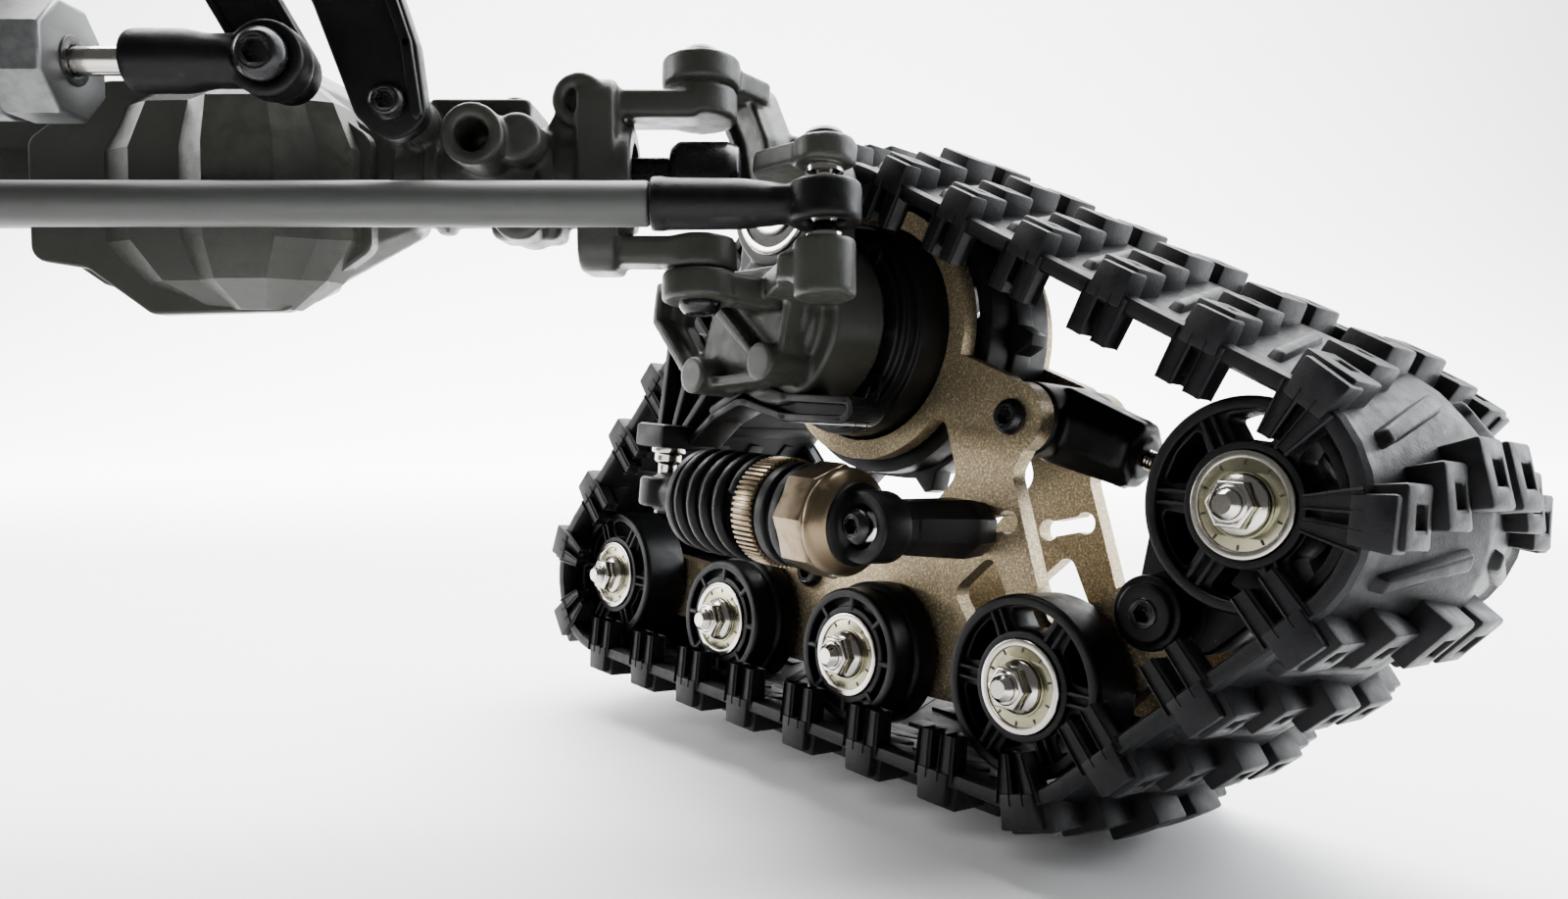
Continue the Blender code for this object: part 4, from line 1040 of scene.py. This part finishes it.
def torque_bracket():
    w0, w1 = 4.0, 9.6
    middle = (w0 + w1) / 2
    outline = rounded([(-60.5, 38.6, 1.5), (-61.4, 23.6, 2.0), (-55.0, 22.9, 1.5), (-49.0, 27.6, 3.0),
                       (-43.0, 30.2, 4.0), (-34.0, 28.4, 4.0), (-22.0, 28.6, 2.0), (-21.0, 31.0, 1.0),
                       (-34.0, 31.0, 3.0), (-42.4, 32.9, 3.0), (-50.0, 34.0, 2.0), (-53.0, 38.8, 1.0)], 6)
    meshes = [plate([outline], middle - 1.0, middle + 1.0, 0.2)]
    rim = [(*point, middle) for point in outline]
    meshes += [rib(rim[i][:2], rim[(i + 1) % len(rim)][:2], w0, w1, 1.1) for i in range(len(rim))
               if dist(rim[i][:2], rim[(i + 1) % len(rim)][:2]) > 0.5]
    meshes += [cylinder(0.55, w0, w1, at_spot(point[:2]), 0.2, 12) for point in rim]
    meshes += [rib((-58.0, 25.0), (-54.5, 37.6), w0, w1), rib((-56.4, 24.6), (-50.0, 32.0), w0, w1)]
    meshes.append(rib((-49.0, 28.6), (-43.0, 31.6), w0, w1))
    meshes.append(brick((6.8, 3.4, 9.8), shift((PIN_U - 0.6, 24.4, 9.4)), 0.6))
    return join(*meshes)


pair("torque_bracket", torque_bracket(), BLACK, "knuckle", ["torque_bracket"])
pin_at = along((0, -1, 0), (PIN_U, 23.0, SHOCK_W))
pin_profile = soft([(0, -0.6), (2.4, -0.6), (2.4, 0.9), (1.9, 1.2), (1.9, 2.2), (1.3, 2.6), (1.3, 4.0)], 0.2)
for level in range(-6, 7):
    lift = level / 6 * 1.45
    pin_profile.append((sqrt(max(0.01, 2.05 ** 2 - (lift * 1.25) ** 2)), 6.6 + lift * 1.3))
pin_profile += [(1.4, 9.6), (0, 9.8)]
pair("ball_pin", lathe(pin_profile, pin_at, 40), NICKEL, "knuckle")


# ---- knuckle ----------------------------------------------------------------------------------------
LEAN = Vector((-tan(radians(CASTER)), 1.0, 0.0)).normalized()
king_point = Vector((KING_U, KING_V, KING_W))
ball_point = Vector((KING_U - BALL_Y, KING_V + BALL_Z, KING_W))


def level_plate(corners, low, high):
    """A plate whose outline lies in u and w, between two heights v."""
    return plate([rounded(corners)], -high, -low, 0.4, STAND)


def knuckle():
    """Portal case, kingpin fork, steering arms and ribbed web as one moulding."""
    top_boss = king_point + LEAN * 13.4
    low_boss = king_point - LEAN * 13.4
    meshes = [cylinder(11.6, 0.2, 9.0, at_spot(HUB), 0.6, 72),
              cylinder(9.0, 8.0, 10.4, at_spot(HUB), 0.4, 60),
              cylinder(8.6, 3.8, 11.0, at_spot((KING_U, KING_V)), 0.5, 60),
              brick((17.0, 15.0, 5.6), shift((KING_U, 49.5, 6.6)), 0.6, 3),
              cylinder(4.9, -1.8, 1.8, along(LEAN, top_boss), 0.5, 48),
              cylinder(4.7, -1.8, 1.8, along(LEAN, low_boss), 0.5, 48)]
    top = top_boss.y + 1.5
    meshes.append(level_plate([(-43.4, 25.0, 2.0), (-35.2, 25.0, 2.0),
                               (-37.6, 12.6, 1.5), (-46.0, 12.6, 1.5)], top - 2.8, top))
    strap = [(-47.0, 71.4, 1.0), (-40.0, 71.4, 2.5), (-34.6, 63.3, 6.0), (-31.9, 55.0, 0.5),
             (-39.6, 55.0, 0.5), (-42.4, 63.5, 4.0), (-47.0, 68.4, 1.0)]
    meshes.append(plate([rounded(strap)], 10.4, 14.4, 0.4))
    for path in (((-40.4, 70.6), (-35.5, 63.2), (-32.8, 56.0)),
                 ((-45.0, 68.0), (-41.6, 63.4), (-38.8, 56.0))):
        meshes += [rib(a, b, 10.6, 15.5, 1.3) for a, b in zip(path, path[1:])]
    meshes.append(brick((8.6, 3.4, 16.0), shift((low_boss.x, low_boss.y + 0.4, 15.4)), 0.5, 3))
    meshes.append(cylinder(3.4, 4.3, 7.1, along(LEAN, ball_point), 0.4, 48))
    meshes.append(cylinder(3.4, -10.4, -4.0, along(LEAN, ball_point), 0.4, 48))
    meshes.append(level_plate([(-11.6, 26.2, 2.4), (-11.6, 20.4, 2.4), (-23.0, 18.2, 2.0), (-28.6, 8.2, 1.0),
                               (-36.0, 8.2, 1.0), (-31.0, 19.0, 3.0), (-25.6, 24.6, 3.0)], 55.9, 58.5))
    meshes.append(level_plate([(-11.4, 26.2, 2.4), (-11.2, 20.4, 2.4), (-24.6, 9.0, 2.0), (-36.0, 8.2, 1.0),
                               (-35.0, 14.0, 2.0), (-22.0, 22.4, 3.0), (-18.0, 26.0, 3.0)], 42.9, 46.2))
    web = rounded([(-58.2, 46.2, 1.0), (-58.6, 40.4, 1.2), (-48.4, 31.2, 2.5), (-42.0, 31.2, 1.0),
                   (-31.0, 33.0, 2.0), (-28.6, 41.0, 1.0), (-28.4, 47.2, 1.0)])
    hole = rounded([(-55.0, 42.8, 0.8), (-54.4, 40.2, 0.8), (-49.8, 35.6, 0.8), (-47.8, 42.8, 0.8)], 5)
    meshes.append(plate([web, hole], 9.4, 11.6, 0.25))
    web_ribs = (((-57.6, 45.4), (-57.8, 40.6)), ((-57.8, 40.6), (-47.8, 32.0)),
                ((-57.6, 45.4), (-28.8, 46.8)), ((-48.4, 45.0), (-34.6, 35.4)),
                ((-28.8, 46.8), (-30.4, 36.0)), ((-46.0, 32.0), (-34.0, 33.2)))
    meshes += [rib(a, b, 9.4, 14.4, 1.3) for a, b in web_ribs]
    for spot in ((-45.8, 33.0), (-32.0, 35.0)):
        meshes.append(cylinder(2.5, 8.6, 16.0, at_spot(spot), 0.4, 40))
    return moulded(0.31, *meshes, smooth=2)


pair("knuckle", knuckle(), GREY, "knuckle", ["knuckle"], 60)
pair("king_screws", join(socket_screw(2.6, 1.6, along(LEAN, king_point + LEAN * 15.3)),
                         socket_screw(2.6, 1.6, along(-LEAN, king_point - LEAN * 15.1)),
                         socket_screw(2.3, 1.2, along(LEAN, ball_point + LEAN * 7.1))), SCREW, "knuckle")
stud_profile = [(0, 7.0), (1.5, 7.0), (1.5, 4.2), (2.1, 4.0), (2.1, 3.4), (1.4, 3.1)]
for level in range(7):
    angle = radians(60 - 20 * level)
    stud_profile.append((2.3 * cos(angle), 2.3 * sin(angle)))
stud_profile += [(1.4, -3.1), (2.0, -3.4), (2.0, -4.4), (0, -4.4)]
pair("ball_stud", lathe(stud_profile, along(LEAN, ball_point), 40), NICKEL, "knuckle")
bearing_face = at_spot((KING_U, KING_V), 11.1)
pair("input_bearing", join(ring(7.2, 6.1, -0.6, 0.2, bearing_face), ring(4.6, 3.4, -0.6, 0.2, bearing_face)),
     NICKEL, "knuckle")


# ---- pieces of the axle, in the row frame -----------------------------------------------------------
def on_x(x, y, z, way=1):
    return along((way, 0, 0), (x, y, z))


def on_y(x, y, z, way=-1):
    return along((0, way, 0), (x, y, z))


def housing():
    """Axle tubes, rear bowl of the differential, pads, seats and the C-shaped hubs."""
    z = AXLE_Z
    reach = KING.x - 12.0
    meshes = [cylinder(5.8, -reach, reach, on_x(0, 0, z), 0.4, 64),
              cylinder(15.0, -9.0, 9.0, on_x(DIFF_X, 2.0, z), 1.2, 12),
              cylinder(14.4, 8.0, 22.0, on_x(DIFF_X, 2.0, z), 0.8, 12, 6.8),
              cylinder(14.4, 8.0, 22.0, on_x(DIFF_X, 2.0, z, -1), 0.8, 12, 6.8),
              cylinder(8.6, 0.0, 27.0, on_y(DIFF_X, 0, z + 1.0, 1), 0.6, 40, 6.6)]
    for k in range(6):
        turn = on_y(DIFF_X, 0, z + 1.0, 1) @ rotate(pi * k / 3, 4, "Z")
        meshes.append(brick((15.0, 1.4, 12.0), turn @ shift((0, 0, 18.0)), 0.4))
    meshes.append(brick((22.0, 10.0, 9.0), shift((0, 0, -4.5)), 0.4, 2))
    for side in (-1, 1):
        meshes.append(brick((12.0, 12.0, 9.0), shift((side * 52.0, 1.0, -6.5)), 0.4, 2))
        for x in (side * 40.5, side * 60.0, side * 12.5 if side < 0 else side * 46.5):
            meshes.append(ring(6.7, 5.0, -0.9, 0.9, on_x(x, 0, z), 0.3))
        x = side * reach
        plate_back = rounded([(11.5 * i, 6.5 * j, 3.0) for i, j in ((-1, -1), (1, -1), (1, 1), (-1, 1))], 5)
        hub_at = on_x(x, 0, z, side)
        lies_flat = abs((hub_at @ Vector((1, 0, 0)) - hub_at.translation).z) < 0.5
        face_turn = rotate(pi / 2 if lies_flat else 0.0, 4, "Z")
        meshes.append(plate([plate_back], -2.4, 2.2, 0.5, hub_at @ face_turn))
        meshes.append(ring(6.6, 4.0, 1.0, 4.0, hub_at, 0.4))
        for level in (-1, 1):
            skew = tan(radians(CASTER)) * 8.6 * level
            ear = shift((side * (KING.x - 6.5), skew * 0.7, z + level * 8.9))
            meshes.append(brick((13.0, 8.6, 3.4), ear, 0.7, 3))
            boss = along((0, sin(radians(CASTER)), cos(radians(CASTER))),
                         (side * KING.x, 0, z))
            meshes.append(cylinder(4.5, level * 9.4 - 2.0, level * 9.4 + 2.0, boss, 0.5, 48))
            gusset = shift((side * (KING.x - 11.0), 0, z + level * 6.2))
            meshes.append(brick((3.6, 7.6, 6.0), gusset @ rotate(-side * level * 0.6, 4, "Y"), 0.6))
        meshes += [ring(3.6, 1.9, 2.0, 13.1, on_y(side * 53.0, 0, z + 3.0), 0.4, 40),
                   cylinder(2.6, 2.0, 13.1, on_y(side * BOLT_X, 0, z + 5.7), 0.4, 40),
                   cylinder(2.8, 0.0, 11.0, on_y(side * 57.6, 0, z + 3.2), 0.5, 40),
                   cylinder(3.0, 0.0, 11.0, on_y(side * 57.6, 0, z - 5.6), 0.6, 40),
                   brick((8.4, 8.0, 6.0), shift((side * 57.6, -3.0, z - 5.0)), 1.2, 3),
                   ring(3.3, 1.7, -3.0, 3.0, on_y(side * 64.0, -3.0, z + 8.6), 0.5, 40)]
        gusset = rounded([(54.0, -4.0, 0.6), (66.4, -4.0, 0.6), (66.6, 8.0, 2.0), (62.0, 9.6, 1.5)], 4)
        if side < 0:
            gusset = [(-a, b) for a, b in gusset][::-1]
        meshes.append(plate([gusset], 2.2, 4.2, 0.3, shift((0, 0, z)) @ STAND))
    body = moulded(0.38, *meshes, smooth=3)
    flat_front = brick((42.0, 12.0, 34.0), shift((DIFF_X, COVER_BACK - 6.0, z)), 0)
    body = boolean(body, "DIFFERENCE", flat_front)
    for side in (-1, 1):
        throat = cylinder(4.6, -15.0, 5.0, on_x(side * KING.x, 0, z, side), 0.3, 40)
        body = boolean(body, "DIFFERENCE", throat)
    return body


piece("axle_housing", housing(), GREY, "axle", ["axle_housing"], crease=60)


def diff_cover():
    """Faceted front shell of the differential, narrowing above and below, on its flange."""
    front = [(0.6, -5.6), (5.6, -6.0), (13.2, -10.8), (19.2, -11.2), (23.0, -13.9), (31.2, -14.1),
             (35.0, -11.4), (38.4, -10.0), (39.2, -5.6)]
    mid = 26.0
    base = front[0][1]
    bm = bmesh.new()
    rows = []
    levels = ((-1.2, 0.58, 0.60), (-3.8, 0.84, 0.96), (-9.0, 1.0, 1.0), (-19.6, 1.0, 1.0),
              (-24.2, 0.74, 0.90), (-27.4, 0.36, 0.40))
    for z, share, depth in levels:
        rows.append([bm.verts.new((mid + (x - mid) * share, base + (y - base) * depth, z))
                     for x, y in front])
    for low, high in zip(rows, rows[1:]):
        for j in range(len(front)):
            m = (j + 1) % len(front)
            bm.faces.new((low[j], low[m], high[m], high[j]))
    bm.faces.new(rows[0])
    bm.faces.new(rows[-1])
    edges = [edge for edge in bm.edges if edge.calc_face_angle(0.0) > 0.12]
    bmesh.ops.bevel(bm, geom=edges, offset=0.45, **ROUNDING)
    shell = to_mesh(bm)
    lip = rounded([(0.0, -7.6, 2.0), (9.4, -0.8, 2.0), (31.0, -0.8, 2.0), (39.9, -7.2, 2.0),
                   (39.9, -20.4, 2.0), (29.8, -27.6, 2.0), (14.0, -28.0, 2.0), (6.6, -22.6, 2.0),
                   (0.0, -21.6, 2.0)], 5)
    return join(shell, plate([lip], 5.4, 8.1, 0.35, STAND))


piece("diff_cover", diff_cover(), GREY, "axle", ["diff_cover"], crease=12)
pad_bolts = []
for side in (-1, 1):
    for spot_y in (-3.4, 5.4):
        pad_bolts.append(socket_screw(1.3, 0.5, shift((side * 56.0, spot_y, -2.25))))
piece("seat_bolts", join(*pad_bolts), SCREW, "axle")

flange_z = AXLE_Z + 1.0
pinion = turned([(0, 6.0), (4.6, 6.0), (4.6, 3.6), (3.2, 3.2), (3.2, 0.3), (0, 0.3)], 0.25,
                on_y(DIFF_X, 27.0, flange_z, 1), 56)
piece("input_flange", pinion, NICKEL, "input_flange", ["input_flange"])


def cv_joint(side):
    """Cup with cross grooves and the short shaft into the tube."""
    at = on_x(side * KING.x, 0, AXLE_Z, side)
    cup = hoop([(2.2, 5.0), (4.2, 4.8), (4.8, 3.4), (4.8, -2.6), (4.0, -3.6), (2.2, -4.0)], 0.3, at, 56)
    shaft = turned([(0, -3.4), (2.9, -3.6), (2.9, -13.5), (0, -13.5)], 0.2, at, 40)
    cross = [brick(size, at @ shift((0, 0, 2.4)), 0.4) for size in ((8.4, 1.8, 1.8), (1.8, 8.4, 1.8))]
    return join(cup, shaft, *cross)


for side, tag, word in SIDES:
    piece(f"cv_cup_{tag}", cv_joint(side), SCREW, f"cv_cup_{word}", [f"cv_cup_{tag}"])


# ---- tie rod ----------------------------------------------------------------------------------------
def place_ball(side):
    offset = steer_turn().to_3x3() @ Vector((0, BALL_Y, BALL_Z))
    return Vector((side * KING.x, 0, AXLE_Z)) + offset


left_ball = place_ball(1)
rod_far = -2 * KING.x + 19.0
rod_profile = [(0, -19.0), (2.3, -19.0), (2.5, -19.3), (2.5, rod_far + 0.3), (2.3, rod_far), (0, rod_far)]
piece("tie_rod", turned(rod_profile, 0.15, on_x(*left_ball), 72), SATIN, "tie_rod", ["tie_rod"])
KING_AXIS = Vector(JOINTS["steer_left"]["axis"])


def rod_end(side):
    spot = place_ball(side)
    at = on_x(*spot, -side)
    shank = turned([(0, 18.9), (2.7, 18.9), (2.85, 17.6), (2.75, 9.0), (2.3, 5.0), (2.0, 2.6),
                    (0, 2.6)], 0.4, at, 56)
    collar = ring(2.95, 1.0, 17.2, 18.9, at, 0.3)
    eye = ring(4.1, 2.35, -2.3, 2.3, along(KING_AXIS, spot), 0.7, 56)
    neck = brick((4.6, 4.2, 3.9), shift(spot + Vector((-side * 4.2, 0, 0))), 0.9, 3)
    return moulded(0.26, shank, collar, eye, neck)


for side, tag, word in SIDES:
    piece(f"tie_rod_end_{tag}", rod_end(side), BLACK, "tie_rod", [f"tie_rod_end_{tag}"], crease=60)


# ---- front bracket, servo arm and steering damper ---------------------------------------------------
def upright(outlines, y_front, y_back, bevel=0.3):
    """A plate in the XZ plane between two y positions; y_front is the more negative one."""
    return plate(outlines, -y_back, -y_front, bevel, STAND)


def front_bracket():
    outline = rounded([(41.0, -6.6, 3.0), (44.6, -10.2, 3.0), (49.0, -7.4, 3.0), (48.0, 1.0, 2.0),
                       (45.4, 9.0, 3.0), (43.4, 19.0, 2.0), (24.0, 19.0, 3.0), (20.0, 12.0, 3.0),
                       (36.0, 7.0, 4.0)])
    slot_hole = capsule((33.0, 14.6), (40.0, 13.4), 1.5)
    face = upright([outline, slot_hole], -16.0, -13.4, 0.35)
    stub = cylinder(1.6, 15.0, 19.2, on_y(ARM_PIVOT[0], 0, ARM_PIVOT[1]), 0.2, 32)
    rim = [upright([capsule(a, b, 0.6, 6)], -16.9, -13.8, 0.2)
           for a, b in (((48.0, -6.6), (47.0, 1.0)), ((47.0, 1.0), (44.4, 9.0)), ((44.4, 9.0), (42.6, 17.8)))]
    return join(face, stub, *rim)


piece("front_bracket", front_bracket(), BLACK, "axle", ["front_bracket"])
bracket_screws = join(socket_screw(2.1, 1.5, on_y(BOLT_X, -16.0, AXLE_Z + 5.7)),
                      socket_screw(1.9, 1.2, on_y(40.0, -16.0, 8.6)))
piece("bracket_screws", bracket_screws, SCREW, "axle")


def damper_mount():
    foot = brick((6.0, 10.0, 4.0), shift((DAMPER_EYE_X, -11.2, AXLE_Z + 3.0)), 0.5)
    riser = brick((6.0, 3.0, 13.0), shift((DAMPER_EYE_X, -14.9, AXLE_Z + 7.4)), 0.6)
    stub = cylinder(1.6, 14.0, 22.0, on_y(DAMPER_EYE_X, 0, DAMPER_Z), 0.2, 32)
    gusset = brick((1.2, 7.0, 7.0), shift((DAMPER_EYE_X, -12.0, AXLE_Z + 6.0)), 0.3)
    return join(foot, riser, stub, gusset)


piece("damper_mount", damper_mount(), BLACK, "axle", ["damper_mount"])


def servo_arm():
    tip = (ARM_TIP_X, DAMPER_Z)
    arm = upright([capsule(ARM_PIVOT, tip, 3.4, 14), circle(1.95, ARM_PIVOT, 32)], -18.6, -16.4, 0.35)
    rim = upright([capsule(ARM_PIVOT, tip, 3.4, 14), capsule(ARM_PIVOT, tip, 2.6, 14)], -19.1, -16.6, 0.15)
    return join(arm, rim)


piece("servo_arm", servo_arm(), BLACK, "servo_arm", ["servo_arm"])
arm_screws = join(socket_screw(2.7, 1.3, on_y(ARM_PIVOT[0], -18.8, ARM_PIVOT[1])),
                  socket_screw(2.8, 1.8, on_y(ARM_TIP_X, -24.0, DAMPER_Z)),
                  cylinder(1.4, 18.0, 24.1, on_y(ARM_TIP_X, 0, DAMPER_Z), 0.1, 24))
piece("arm_screws", arm_screws, SCREW, "servo_arm")

damper_axis = on_x(DAMPER_EYE_X, DAMPER_Y, DAMPER_Z)
can = [(2.0, 40.0), (5.7, 40.0), (6.1, 39.6), (6.1, 14.4), (5.5, 13.6), (5.5, 12.6), (6.1, 12.2),
       (6.1, 11.4), (4.4, 10.4), (2.2, 10.0)]
hexagon_end = plate([circle(6.4, sides=8, start=0.39), circle(2.0, sides=32)], 39.8, 46.0, 0.6,
                    damper_axis, 3)
piece("damper_body", join(hoop(can, 0.25, damper_axis, 96), hexagon_end), SILVER, "damper_body",
      ["damper_body"])
damper_eye = moulded(0.28, ring(3.5, 2.1, -2.0, 2.0, on_y(DAMPER_EYE_X, DAMPER_Y, DAMPER_Z), 0.5),
                     turned([(0, 11.0), (3.4, 11.0), (3.2, 7.0), (2.4, 3.0), (0, 3.0)], 0.4, damper_axis, 40))
piece("damper_eye", damper_eye, BLACK, "damper_body", crease=60)
piece("damper_gland", ring(2.6, 1.6, 45.6, 46.15, damper_axis, 0.1), SCREW, "damper_body")

rod_axis = on_x(ARM_TIP_X, DAMPER_Y, DAMPER_Z, -1)
rod_end_mesh = moulded(
    0.26, ring(4.0, 2.5, -1.8, 1.8, on_y(ARM_TIP_X, DAMPER_Y, DAMPER_Z), 0.5, 56),
    turned([(0, 14.6), (3.1, 14.6), (3.3, 13.9), (3.3, 8.6), (2.9, 6.6), (2.5, 3.0), (0, 3.0)], 0.4,
           rod_axis, 56),
    brick((5.0, 3.4, 5.4), shift((ARM_TIP_X - 4.0, DAMPER_Y, DAMPER_Z)), 0.9, 3))
piece("damper_rod_end", rod_end_mesh, BLACK, "damper_rod", ["damper_rod"], crease=60)
piece("damper_shaft", cylinder(1.5, 14.0, 40.0, rod_axis, 0.1, 56), NICKEL, "damper_rod")
